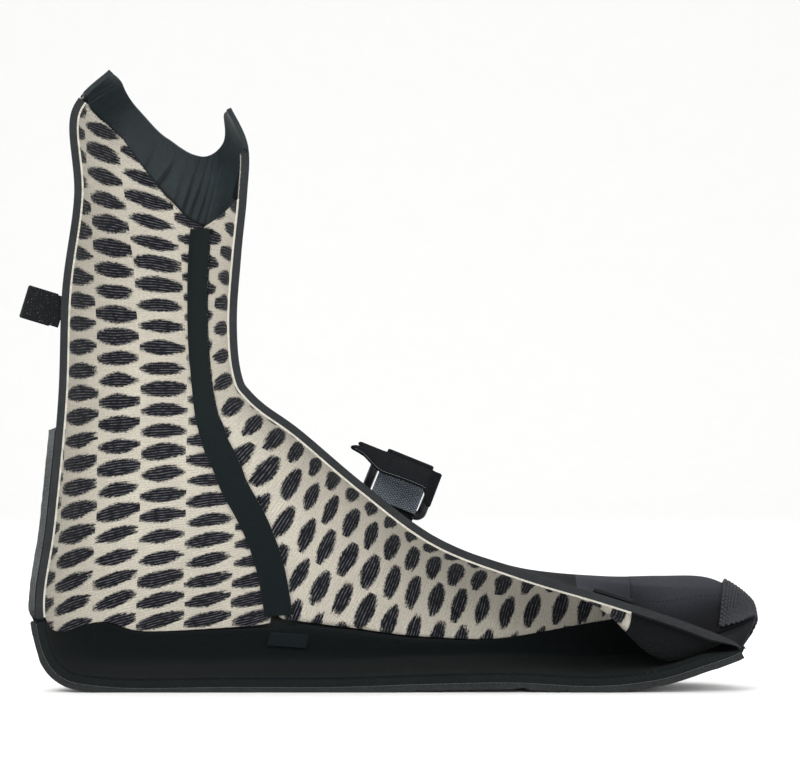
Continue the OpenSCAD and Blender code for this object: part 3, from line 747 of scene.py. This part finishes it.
def collarGathers(s, a):
    # how deep the gathers are: they start at the seam and die out towards the rim
    low, rim = tableAt(collarLow, a / 15), tableAt(collarRim, a / 15)
    rise = np.clip((s - low) / (rim - low), 0, 1)
    phase = (a + 15 * rise) / 7.6 + 0.6 * softNoise(np.stack([a, rise * 10], -1), 17.0, 4)
    crease = (1 - np.abs(np.sin(np.pi * phase))) ** 3
    strong = softStep(40, 70, a) * softStep(179, 166, a) * (1 - 0.7 * softStep(0.25, 0.9, rise))
    uneven = np.clip(0.75 + 1.1 * softNoise(np.stack([a + 15 * rise, rise], -1), 11.0, 6), 0.05, 1.3)
    return crease * strong * uneven


def collarRelief(s, a, v):
    fold = shellForm["collarFold"] * collarGathers(s, a)
    swell = 0.45 * softNoise(np.stack([a / 2.2, s * 9], -1), 9.0, 7)
    swell = swell * softStep(0, 20, a) * softStep(180, 160, a)
    return swell - fold, swell - fold


def collarPattern(s, a, p):
    # the depth of the gathers, which the skin's material turns into painted shade in the creases
    return np.stack([collarGathers(s, a), a], -1)


def treadRelief(s, a, v):
    # wavy sipes under the foot, a lip round the rim, and small nicks in the bottom edge
    p = bootFace(s, a)
    wave = np.sin(2 * np.pi * (p[..., 0] + 3 * np.sin(p[..., 1] / 6)) / shellForm["treadPitch"])
    sipe = softStep(0.78, 0.95, wave) * softStep(96, 104, a) * softStep(176, 170, a)
    sipe = sipe * shellForm["treadDepth"]
    lip = 0.45 * np.exp(-(v / 0.035) ** 2)
    nick = softStep(0.55, 0.8, softNoise(p[..., :1], 6.0, 11)) * softStep(176, 180, a) * 0.7
    return lip - sipe - nick + 0.12 * softNoise(p, 3.0, 2), 0


def counterRelief(s, a, v):
    # grain, a bead along the upper edge and shallow bands round the heel
    p = bootFace(s, a)
    bead = 0.5 * np.exp(-((v - 0.03) / 0.03) ** 2)
    band = 0.35 * softStep(0.2, 0.6, np.sin(2 * np.pi * p[..., 2] / 9)) * softStep(0.1, 0.25, v)
    band = band * softStep(179, 172, a)
    return bead - band + 0.18 * softNoise(p, 2.2, 9), 0


def bumperRelief(s, a, v):
    return 0.15 * softNoise(bootFace(s, a), 3.0, 2) - 0.5 * np.exp(-(np.minimum(v, 1 - v) / 0.04) ** 2), 0


def rearPattern(s, a, p):
    # rows of ovals tilt with height, and columns follow the cloth round the heel
    x, y, z = p[..., 0], p[..., 1], p[..., 2]
    lean = np.interp(z, [25, 60, 110, 160, 190, 215], [0.26, 0.16, 0.03, -0.10, -0.25, -0.40])
    middle = np.interp(z, [30, 75, 115, 145, 175, 200, 215], [9, 10.5, 11, 10, 8, 4, 2])
    column = x - middle - 0.42 * np.maximum(0, 14 - y) * np.clip((6 - x) / 16, 0, 1)
    return np.stack([column + 0.5 * pileForm["rear"]["columnPitch"],
                     z - lean * (x + 4) - 1.06 + 0.0015 * np.maximum(0, 12 - x) ** 2], -1)


def instepPattern(s, a, p):
    # columns run round the foot from the top edge; rows follow the edge and lean back towards the heel
    across = lengthMap(p)[..., 0]
    edge = np.concatenate([[0], np.cumsum(np.linalg.norm(np.diff(p[:, 0], axis=0), axis=-1))])
    lean = np.interp(p[..., 0], [60, 80, 130, 190], [0.24, 0.26, 0.20, 0.06])
    column = across + 4.9 * softStep(150, 172, p[..., 0])
    return np.stack([column - 12.9 + 0.5 * pileForm["instep"]["columnPitch"],
                     edge[-1] - edge[:, None] + lean * across], -1)


form = bootForm
lined = form["foam"] + form["bond"]
linings = (lined, form["inside"])
sewnSheet("outsole", "sole_rubber", outsoleArea, soleRows, 84, 9, -form["rubber"], -form["glue"],
          "soleRubber", treadRelief, floor=0)
sewnSheet("heel_counter", "heel_rubber", counterArea, counterRows, 64, 6, -form["rubber"], -form["glue"],
          "heelRubber", counterRelief)
sewnSheet("toe_bumper", "toe_rubber", bumperArea, bumperRows, 56, 6, -form["rubber"] * 0.6, -form["glue"],
          "toeRubber", bumperRelief)
sewnSheet("sole_foam", "black_foam", soleArea, soleRows, 40, 5, 0, form["foam"], "soleFoam")
sewnSheet("rear_panel", "black_foam", rearArea, rearRows, 64, 5, 0, form["foam"],
          ["shellKnit", "cutFoam", "cutFoam"], shellRelief)
sewnSheet("instep_panel", "black_foam", instepArea, instepRows + topRows, 60, 5, 0, form["foam"],
          ["shellKnit", "cutFoam", "cutFoam", "toeSkin"], shellRelief, skinFrom=178)
# its outer jersey carries painted shade for the split
sewnSheet("outer_toe_panel", "black_foam", outerToeArea, toeRows, 28, 8, 0, form["foam"],
          ["splitShadowSkin", "cutFoam", "cutFoam"], shellRelief)
sewnSheet("big_toe_panel", "black_foam", bigToeArea, toeRows, 96, 9, 0, form["foam"],
          ["toeSkinInside", "cutFoam", "cutFoam"], toeShellRelief)
sewnSheet("rear_lining", "pile_lining", rearArea, rearRows, 72, 5, *linings,
          ["rearPile", "rearPile", "liningEdge", "blackKnit"], pileRelief, rearPattern)
sewnSheet("instep_lining", "pile_lining", instepLiningArea, instepRows, 72, 5, *linings,
          ["instepPile", "instepPile", "liningEdge", "blackKnit"], pileRelief, instepPattern)
sewnSheet("footbed", "black_knit", soleArea, soleRows, 64, 6, *linings, "blackKnit", footbedRelief)
sewnSheet("outer_toe_lining", "black_knit", outerToeArea, toeRows, 28, 8, *linings, "toeKnit", pileRelief)
sewnSheet("big_toe_lining", "black_knit", bigToeArea, toeRows, 48, 6, *linings, "toeKnit", pileRelief)
flap = np.linspace(0, 1, 9)
sewnSheet("collar_seal", "smooth_skin", collarArea, flap, 260, 9, 0, form["collar"], "smoothSkin",
          collarRelief, collarPattern)
sewnSheet("collar_seam_band", "smooth_skin", collarBandArea, flap, 200, 4, 1.2, 1.95, "smoothSkin",
          collarRelief)
sewnSheet("collar_lap", "smooth_skin", collarLapArea, flap, 24, 4, *linings, "smoothSkin")
tapeIn = form["inside"] + form["glue"]
sewnSheet("seam_tape", "seam_tape", tapeArea, tapeRows, 12, 12, tapeIn, tapeIn + form["tape"], "tapeKnit",
          tapeRelief)
sewnSheet("tape_end_patch", "stay_neoprene", patchArea, flap, 24, 4, tapeIn, tapeIn + form["tape"],
          "tapeKnit", lambda s, a, v: (0, 0.3 * softNoise(bootFace(s, a), 2.0, 3)))
sewnSheet("split_toe_stay", "stay_neoprene", stayArea, flap, 20, 4, -form["glue"] - 1.4, -form["glue"] - 0.2,
          "shellKnit", lambda s, a, v: (0.15 * softNoise(bootFace(s, a), 2.0, 3), 0))
print("sheets sewn")

# the ring, its webbing and the strap, as in the part's source
ringSeatAngle = angleFromCut(np.array(ringForm["station"]), ringForm["fromCut"] * wide)
ringOut = outward(np.array(ringForm["station"]), ringSeatAngle)
bore = ringForm["bar"] / 2 + ringForm["clearance"]
ringSeat = bootFace(ringForm["station"], ringSeatAngle)
ringAt = ringSeat + ringOut * (form["glue"] + ringForm["thick"] + bore + ringForm["lift"])


def turnAbout(x, y):
    return Euler((math.radians(x), math.radians(y), 0)).to_matrix().to_4x4()


ringTilt = turnAbout(0, ringForm["slope"]) @ turnAbout(ringForm["lean"], 0)
ringFrame = Matrix.Translation(Vector(ringAt)) @ ringTilt


def moved(matrix, points):
    return points @ np.array(matrix.to_3x3()).T + np.array(matrix.translation)


def strip(name, path, normals, left, right, thick, materials, slot, body, nodes, matrix, across=40,
          shape=None, darkFrom=None):
    # flat webbing along a path in the Y-Z plane, from left to right along X, with rounded selvedges
    materials = threeOf(materials)
    x = np.linspace(left, right, across + 1)
    edge = np.minimum(x - left, right - x)
    plump = np.sqrt(np.clip(1 - (1 - np.clip(edge / (thick * 0.6), 0, 1)) ** 2, 0.12, 1))
    outer, inner = (np.zeros((len(path), across + 1, 3)) for _ in range(2))
    for grid, side in ((outer, 0.5), (inner, -0.5)):
        off = side * thick * plump
        grid[..., 0] = x
        grid[..., 1] = path[:, :1] + normals[:, :1] * off
        grid[..., 2] = path[:, 1:] + normals[:, 1:] * off
    if shape:
        outer, inner = shape(outer), shape(inner)
    length = np.concatenate([[0], np.cumsum(np.linalg.norm(np.diff(path, axis=0), axis=-1))])
    flat = np.stack(np.broadcast_arrays(x[None, :], length[:, None]), -1)
    points, faces, nTop, nUnder, nWall = closedGrid(outer, inner)
    faces = turnOut(points, faces)
    picks = np.repeat([0, 1, 2], [nTop, nUnder, nWall])
    if darkFrom:
        picks[points[faces][..., 2].mean(-1) > darkFrom] = 3
    new = asObject(name, moved(matrix, points), faces.tolist(), [finishes[m] for m in materials], picks,
                   np.concatenate([flat.reshape(-1, 2)] * 2))
    return dress(new, slot, body, *nodes)


def bentPath(corners, step=0.35):
    # even points along a smooth line through the corners, with their normals
    corners = np.array(corners, float)
    t = np.linspace(0, len(corners) - 1, 400)
    line = tableAt(corners, t)
    far = np.concatenate([[0], np.cumsum(np.linalg.norm(np.diff(line, axis=0), axis=-1))])
    even = np.linspace(0, far[-1], max(8, int(far[-1] / step)))
    line = np.stack([np.interp(even, far, line[:, k]) for k in (0, 1)], -1)
    way = np.gradient(line, axis=0)
    way /= np.linalg.norm(way, axis=-1, keepdims=True)
    return line, np.stack([-way[:, 1], way[:, 0]], -1)


def roundBar(radius, start, stop, count=30, centre=(0, 0)):
    t = np.radians(np.linspace(start, stop, count))
    return [(centre[0] + radius * math.cos(k), centre[1] + radius * math.sin(k)) for k in t]


half = ringForm["width"] / 2
middle = bore + ringForm["thick"] / 2


def turned(points, degrees, shift=(0, 0)):
    k = math.radians(degrees)
    return [(x * math.cos(k) - y * math.sin(k) + shift[0], x * math.sin(k) + y * math.cos(k) + shift[1])
            for x, y in points]


# keeper: a loop round the ring's lower bar, and its tail down the side of the instep
drop = -math.degrees(math.atan2(ringOut[1], math.hypot(ringOut[0], ringOut[2]))) - math.degrees(
    math.atan2(ringForm["lift"], ringForm["reach"]))
tailEnd = ringForm["reach"] + bore / 3
keeperLine = [(tailEnd - k * tailEnd / 4, -middle) for k in range(4)] + roundBar(middle, -90, -415, 22)
path, normals = bentPath(turned(keeperLine, drop - ringForm["lean"]))
strip("ringKeeper", path, normals, -half, half, ringForm["thick"], "webbing", "webbing", "boot",
      ["ring_keeper"], ringFrame)
webbingTop = -form["glue"] - ringForm["thick"]
sewnSheet("anchor_webbing", "webbing", webbingArea, flap, 60, 5, webbingTop, -form["glue"], "webbing",
          lambda s, a, v: (0.12 * softNoise(bootFace(s, a), 6.0, 3), 0))

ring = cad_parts["strap_ring"]
ring.data.materials.clear()
ring.data.materials.append(finishes["ringPlastic"])

# strap: a loop round the upper bar, and the cut tail that hangs in front
topBar = (0, ringForm["rise"])
strapLine = [(-middle - 1.6, -ringForm["tail"] - 5), (-middle - 0.5, -9), (-middle - 0.05, -4)] + roundBar(
    middle, 180, -140, 24)
path, normals = bentPath(turned(strapLine, 0, topBar))
strip("strap", path, normals, -half, half, ringForm["thick"],
      ["strapWeave", "strapWeave", "strapWeave", "hookPile"], "strap_weave", "strap", ["strap"], ringFrame,
      darkFrom=ringForm["rise"] - 1)

# hook end: folded back over the ring, its far corner curled down and its other end frayed
pivot = (-bore - ringForm["thick"] - ringForm["flapGap"] - ringForm["thick"] / 2, bore + ringForm["rise"])
flapLine = turned([(0, 0), (4, -0.25), (8, -0.4), (12, -0.2), (ringForm["flapLength"], 0.2)],
                  180 + ringForm["flapDroop"], pivot)
path, normals = bentPath(flapLine)


def curledFlap(points):
    x = points[..., 0].copy()
    out = np.linspace(0, 1, len(points))[:, None]
    curl = softStep(8.6, 12.6, x)
    points[..., 2] -= 6.5 * curl * out ** 0.7
    points[..., 1] += 2.6 * curl * out
    narrow = softStep(-8, ringForm["flapLeft"], x)
    points[..., 1:] += (points[:1, :, 1:] - points[..., 1:]) * (0.62 * narrow)[..., None]
    tip = softStep(ringForm["flapLeft"] + 4, ringForm["flapLeft"], x)
    points[..., 0] -= tip * (2.4 * out - 2.6 * bell((out - 0.45) / 0.4) + 0.5)
    points[..., 2] += 0.35 * np.sin(x / 5.5 + 1) * out
    return points


strip("hookFlap", path, normals, ringForm["flapLeft"], ringForm["flapRight"], ringForm["thick"] + 0.3,
      ["strapWeave", "hookPile", "hookPile"], "hook_pile", "flap", ["hook_flap"], ringFrame, 70, curledFlap)

# pull tab: webbing folded into a loop behind the heel seam, tacked together at its root
tabSeat = skinPoint(np.array(tabForm["station"]), np.array(180.0), np.array(0.0))
root = tabSeat + [0, tabForm["half"] + 0.3, 0]
tabAxes = Matrix(((0, 1, 0, 0), (0, 0, 1, 0), (1, 0, 0, 0), (0, 0, 0, 1)))
tabFrame = Matrix.Translation(Vector(root)) @ turnAbout(0, tabForm["tilt"]) @ tabAxes
fold = -tabForm["reach"] - tabForm["gap"] + tabForm["half"]
loop = tabForm["half"] - tabForm["thick"] / 2
near = -tabForm["pivot"]
tabSide = [(near + 1.3, -0.62), (near - 0.6, -0.75), (near - 3.5, -1.7), (fold, -loop)]
tabLine = tabSide + roundBar(loop, -100, -260, 9, (fold, 0)) + [(x, -y) for x, y in reversed(tabSide)]
path, normals = bentPath(tabLine, 0.3)
strip("pullTab", path, normals, -tabForm["width"] / 2, tabForm["width"] / 2, tabForm["thick"], "webbing",
      "webbing", "tab", ["pull_tab"], tabFrame, 30)
sewnSheet("pull_tab_stay", "webbing", tabStayArea, flap, 30, 4, -form["glue"] - 1, -form["glue"], "webbing")
path, normals = bentPath([(0.3, 0), (-1.5, 0), (-3, 0), (near, 0), (near - 1.6, 0)], 0.15)
neck = strip("pullTabRoot", path, normals, -tabForm["neckHalf"], tabForm["neckHalf"], tabForm["neckThick"],
             "webbing", "webbing", None, ["pull_tab_root"], tabFrame, 30)
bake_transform(neck)
print("strap, ring and tab made")


def socketOf(tree, name):
    return next(one.identifier for one in tree.interface.items_tree
                if one.name == name and one.in_out == "INPUT")


def startTree(name, sizes):
    tree = bpy.data.node_groups.new(name, "GeometryNodeTree")
    tree.interface.new_socket("Geometry", in_out="INPUT", socket_type="NodeSocketGeometry")
    for label in (*sizes, "Slant", "Unevenness"):
        tree.interface.new_socket(label, in_out="INPUT", socket_type="NodeSocketFloat")
    tree.interface.new_socket("Finish", in_out="INPUT", socket_type="NodeSocketMaterial")
    tree.interface.new_socket("Geometry", in_out="OUTPUT", socket_type="NodeSocketGeometry")
    return tree, addNode(tree, "NodeGroupInput").outputs


def placedCopies(tree, given, points, shape, aim, size):
    # copies of a shape on points, standing on the surface and aimed along it, each a little different
    lift = outOf(tree, "GeometryNodeInputNamedAttribute", {"Name": "lift"}, data_type="FLOAT_VECTOR")
    stand = outOf(tree, "FunctionNodeAlignRotationToVector", {"Vector": lift}, axis="Z")
    face = outOf(tree, "FunctionNodeAlignRotationToVector", {"Rotation": stand, "Vector": aim}, axis="X",
                 pivot_axis="Z")
    chance = addNode(tree, "FunctionNodeRandomValue", {2: -1.0, 3: 1.0, "Seed": 7}, data_type="FLOAT")
    turn = calc(tree, "MULTIPLY_ADD", chance.outputs[1], given["Unevenness"], given["Slant"])
    spin = addNode(tree, "FunctionNodeEulerToRotation", {0: outOf(tree, "ShaderNodeCombineXYZ", {2: turn})})
    final = outOf(tree, "FunctionNodeRotateRotation", {"Rotation": face, "Rotate By": spin.outputs[0]},
                  rotation_space="LOCAL")
    copies = outOf(tree, "GeometryNodeInstanceOnPoints",
                   {"Points": points, "Instance": shape, "Rotation": final, "Scale": size})
    solid = outOf(tree, "GeometryNodeRealizeInstances", {0: copies})
    solid = outOf(tree, "GeometryNodeSetMaterial", {"Geometry": solid, "Material": given["Finish"]})
    addNode(tree, "NodeGroupOutput", {0: outOf(tree, "GeometryNodeSetShadeSmooth", {0: solid})})


def makeStitchTree():
    tree, given = startTree("stitch rows", ("Pitch", "Length", "Thickness"))
    curve = outOf(tree, "GeometryNodeMeshToCurve", {0: given["Geometry"]})
    even = outOf(tree, "GeometryNodeResampleCurve", {"Curve": curve, "Length": given["Pitch"]},
                 mode="LENGTH")
    bead = outOf(tree, "GeometryNodeMeshUVSphere", {"Segments": 6, "Rings": 5, "Radius": 0.5})
    thickness = given["Thickness"]
    size = outOf(tree, "ShaderNodeCombineXYZ", {0: given["Length"], 1: thickness, 2: thickness})
    placedCopies(tree, given, even, bead, outOf(tree, "GeometryNodeInputTangent"), size)
    return tree


def makeScaleTree():
    tree, given = startTree("rubber scales", ("Length", "Width", "Height"))
    dome = outOf(tree, "GeometryNodeMeshIcoSphere", {"Radius": 0.5, "Subdivisions": 2})
    way = outOf(tree, "GeometryNodeInputNamedAttribute", {"Name": "way"}, data_type="FLOAT_VECTOR")
    size = outOf(tree, "ShaderNodeCombineXYZ", {0: given["Length"], 1: given["Width"], 2: given["Height"]})
    placedCopies(tree, given, given["Geometry"], dome, way, size)
    return tree


def grow(name, tree, lines, values, finish, slot, body, joined=True):
    # runs a tree over lines of points, each with its lifts, and keeps the result as one plain mesh
    points = np.concatenate([line for line, _ in lines])
    lifts = np.concatenate([lift for _, lift in lines])
    edges, start = [], 0
    for line, _ in lines:
        edges += [(start + i, start + i + 1) for i in range(len(line) - 1)] if joined else []
        start += len(line)
    ways = np.concatenate([np.gradient(line, axis=0) for line, _ in lines])
    mesh = bpy.data.meshes.new(name)
    mesh.from_pydata((points * mm).tolist(), edges, [])
    for label, rows in (("lift", lifts), ("way", ways)):
        layer = mesh.attributes.new(label, "FLOAT_VECTOR", "POINT")
        layer.data.foreach_set("vector", rows.astype(np.float32).ravel())
    guide = bpy.data.objects.new(name + "Guide", mesh)
    bpy.context.scene.collection.objects.link(guide)
    rows = guide.modifiers.new("rows", "NODES")
    rows.node_group = tree
    for label, value in values.items():
        rows[socketOf(tree, label)] = value
    rows[socketOf(tree, "Finish")] = finishes[finish]
    seen = guide.evaluated_get(bpy.context.evaluated_depsgraph_get())
    plain = bpy.data.meshes.new_from_object(seen)
    plain.name = name
    new = bpy.data.objects.new(name, plain)
    bpy.context.scene.collection.objects.link(new)
    bpy.data.objects.remove(guide)
    return dress(new, slot, body)


stitchTree, scaleTree = makeStitchTree(), makeScaleTree()
stitches = {
    "fine": {"Pitch": 0.0019, "Length": 0.0014, "Thickness": 0.00032, "Slant": 0.15, "Unevenness": 0.12},
    "shell": {"Pitch": 0.0026, "Length": 0.0026, "Thickness": 0.0005, "Slant": 0.85, "Unevenness": 0.08},
    "lock": {"Pitch": 0.00085, "Length": 0.0013, "Thickness": 0.00026, "Slant": 0.9, "Unevenness": 0.9},
    "fray": {"Pitch": 0.0005, "Length": 0.0008, "Thickness": 0.00019, "Slant": 0.3, "Unevenness": 1.4},
    "strong": {"Pitch": 0.0024, "Length": 0.0019, "Thickness": 0.0005, "Slant": 0.0, "Unevenness": 0.08},
}


def onBoot(s, a, depth):
    s, a = np.broadcast_arrays(np.asarray(s, float), np.asarray(a, float))
    return skinPoint(s, a, np.full(s.shape, float(depth))), outward(s, a) * (1 if depth < 1.5 else -1)


def onCut(stations, side, depth, proud):
    # a row just proud of the cut face, lifted straight away from it
    return skinPoint(stations, side, depth) - [0, proud, 0], np.tile([0.0, -1, 0], (len(stations), 1))


def sew(name, lines, values, finish, slot, body="boot"):
    grow(name, stitchTree, lines, values, finish, slot, body)


fine = 240
collarAngles = np.linspace(14, 178, fine)
collarSeam = tableAt(collarLow, collarAngles / 15)
light = (collarAngles > 42) & (collarAngles < 70)
backed = collarAngles >= 70
sew("collarStitches", [onBoot(collarSeam[light] - 0.03, collarAngles[light], form["inside"] + 0.02)],
    {**stitches["fine"], "Pitch": 0.0024, "Thickness": 0.0002}, "greyThread", "seam_tape")
sew("collarBackStitches", [onBoot(collarSeam[backed] - 0.02, collarAngles[backed], form["inside"] + 0.02)],
    {**stitches["fine"], "Thickness": 0.00024}, "blackThread", "seam_tape")
shellSeam = np.linspace(seamStart, collarStart, fine)
sew("shellStitches", [onBoot(shellSeam, seamSide(shellSeam) + 0.1, 0.25),
                      onBoot(collarSeam, collarAngles, 0.2)], stitches["shell"], "blackThread", "black_foam")
tapeSteps = np.interp(np.linspace(0, len(tapeRows) - 1, fine), np.arange(len(tapeRows)), tapeRows)
tapeSides = []
for share in (0.03, 0.97):
    s, a = tapeArea(tapeSteps, np.full(fine, share))
    tapeSides.append(onBoot(s, a, tapeIn + form["tape"] - 0.05))
tapeSides.sort(key=lambda side: side[0][fine // 2, 0])
sew("tapeFrontLock", [tapeSides[1]], stitches["lock"], "greyThread", "seam_tape")
sew("tapeFrontFlecks", [tapeSides[1]], {**stitches["lock"], "Pitch": 0.0016, "Slant": -0.8},
    "lightThread", "seam_tape")
sew("tapeRearStitches", [tapeSides[0]], {**stitches["fine"], "Pitch": 0.0022}, "blackThread", "seam_tape")
sideSeam = np.linspace(0.35, 3.3, fine)
sew("toeSeamStitches", [onBoot(sideSeam, sideSeamAngle(sideSeam) + 2.4, -0.25)], stitches["fine"],
    "blackThread", "black_foam")
# loose pile along the cut edges of the lining
rearCut = np.linspace(10.95, 15.9, fine)
instepCut = np.linspace(3.6, 15.8, fine)
edgeDepth = (form["foam"] + form["inside"]) / 2
sew("liningFray", [onCut(rearCut, 180.0, edgeDepth, 0.08), onCut(instepCut, 0.0, edgeDepth, 0.08)],
    stitches["fray"], "lightThread", "pile_lining")

# pale glue line between the sole's foam and its rubber
soleCut = np.linspace(0.4, 10.8, 400)
sew("soleGlueLine", [onCut(soleCut, 180.0, -0.15, 0.05)],
    {**stitches["fray"], "Pitch": 0.0011, "Length": 0.001, "Slant": 0.0, "Unevenness": 0.2}, "greyThread",
    "black_foam")

# box of stitches that holds the ring's webbing to the boot
webbingSteps = np.linspace(0.08, 0.92, 40)
boxLines = []
for share in (0.07, 0.3, 0.93):
    boxLines.append(onBoot(*webbingArea(webbingSteps, np.full(40, share)), webbingTop))
for side in (0.08, 0.92):
    boxLines.append(onBoot(*webbingArea(np.full(60, side), np.linspace(0.07, 0.93, 60)), webbingTop))
sew("webbingStitches", boxLines, stitches["strong"], "greyThread", "webbing")
tabRows = []
for share in (0.12, 0.88):
    tabRows.append(onBoot(*tabStayArea(np.full(40, share), np.linspace(0.05, 0.7, 40)), -form["glue"] - 1))
sew("tabStitches", tabRows, stitches["strong"], "greyThread", "webbing")


def flapPoint(x, far):
    # a row on the flap's upper face
    line, _ = bentPath(flapLine)
    k = int(far * (len(line) - 1))
    grid = np.zeros((len(line), len(x), 3))
    grid[..., 0], grid[..., 1:] = x, line[:, None]
    out = curledFlap(grid)[k]
    return moved(ringFrame, out)


edgeX = np.linspace(ringForm["flapLeft"] + 1.5, 9.0, 120)
nearEdge = flapPoint(edgeX, 1.0) + np.array(ringFrame.to_3x3() @ Vector((0, -0.35, 0.35)))
flapUp = np.array(ringFrame.to_3x3() @ Vector((0, -1, 0.2)))
sew("flapStitches", [(nearEdge, np.tile(flapUp, (120, 1)))],
    {**stitches["fine"], "Pitch": 0.0012, "Thickness": 0.0002}, "greyThread", "hook_pile", "flap")

# rows of rubber scales on the toe cap
capForm = {"rows": 20, "count": 64,
           "scale": {"Length": 0.0020, "Width": 0.0016, "Height": 0.00085, "Slant": 0.0, "Unevenness": 0.2}}
capLines = []
for i in range(capForm["rows"]):
    s = bumperRows[0] + 0.04 + (bumperRows[-1] - bumperRows[0] - 0.08) * i / (capForm["rows"] - 1)
    v = (np.arange(capForm["count"]) + 0.5 * (i % 2) + 0.25) / (capForm["count"] + 0.5)
    s, a = bumperArea(np.full(capForm["count"], s), v)
    capLines.append(onBoot(s, a, -form["rubber"] * 0.6))
grow("toeCapScales", scaleTree, capLines, capForm["scale"], "toeRubber", "toe_rubber", "boot", False)
print("stitches and scales made")

# floor, backdrop, lights and camera
studio = {"floor": (0.93, 0.93, 0.925, 1), "world": 0.85, "key": 14.0, "fill": 9.0, "top": 9.0,
          "distance": 1.2, "lens": 135, "middle": (0.1076, 0.121)}
floorMaterial, floorTree, floorShader = startMaterial("studio paper", Roughness=0.9)
floorShader.inputs["Specular IOR Level"].default_value = 0.1
grain = noiseOf(floorTree, placeOf(floorTree), 40.0, 3.0)
paperColor = blendOf(floorTree, grain, (0.91, 0.91, 0.905, 1), studio["floor"])
feed(floorTree, floorShader.inputs["Base Color"], paperColor)
turns = [k * math.pi / 24 for k in range(1, 13)]
sweep = [(-3.0, 0.0), (1.6, 0.0)] + [(1.6 + 0.8 * math.sin(t), 0.8 - 0.8 * math.cos(t)) for t in turns]
sweep.append((2.4, 4.0))
sweepPoints = [(x * 1000, y * 1000, z * 1000 - 0.1) for y, z in sweep for x in (-4.0, 4.0)]
sweepFaces = [(2 * i, 2 * i + 1, 2 * i + 3, 2 * i + 2) for i in range(len(sweep) - 1)]
paper = asObject("studioPaper", sweepPoints, sweepFaces, [floorMaterial])
world = bpy.data.worlds.new("studio")
world.use_nodes = True
world.node_tree.nodes["Background"].inputs[0].default_value = (1, 1, 1, 1)
world.node_tree.nodes["Background"].inputs[1].default_value = studio["world"]
bpy.context.scene.world = world
bpy.context.scene.view_settings.view_transform = "Standard"
target = Vector((studio["middle"][0], 0, studio["middle"][1]))


def softLight(name, place, size, power):
    lamp = bpy.data.lights.new(name, "AREA")
    lamp.shape, lamp.size, lamp.size_y, lamp.energy = "RECTANGLE", size, size, power
    new = bpy.data.objects.new(name, lamp)
    new.location = place
    new.rotation_euler = (target - Vector(place)).to_track_quat("-Z", "Y").to_euler()
    bpy.context.scene.collection.objects.link(new)


softLight("keyLight", (-0.5, -1.1, 1.1), 0.7, studio["key"])
softLight("fillLight", (0.9, -1.2, 0.5), 0.9, studio["fill"])
softLight("topLight", (0.1, 0.5, 1.4), 0.9, studio["top"])
camera = bpy.data.cameras.new("camera")
camera.lens, camera.sensor_width = studio["lens"], 36
cameraObject = bpy.data.objects.new("camera", camera)
cameraObject.location = (studio["middle"][0], cutY * mm - studio["distance"], studio["middle"][1])
cameraObject.rotation_euler = (math.radians(90), 0, 0)
bpy.context.scene.collection.objects.link(cameraObject)
bpy.context.scene.camera = cameraObject
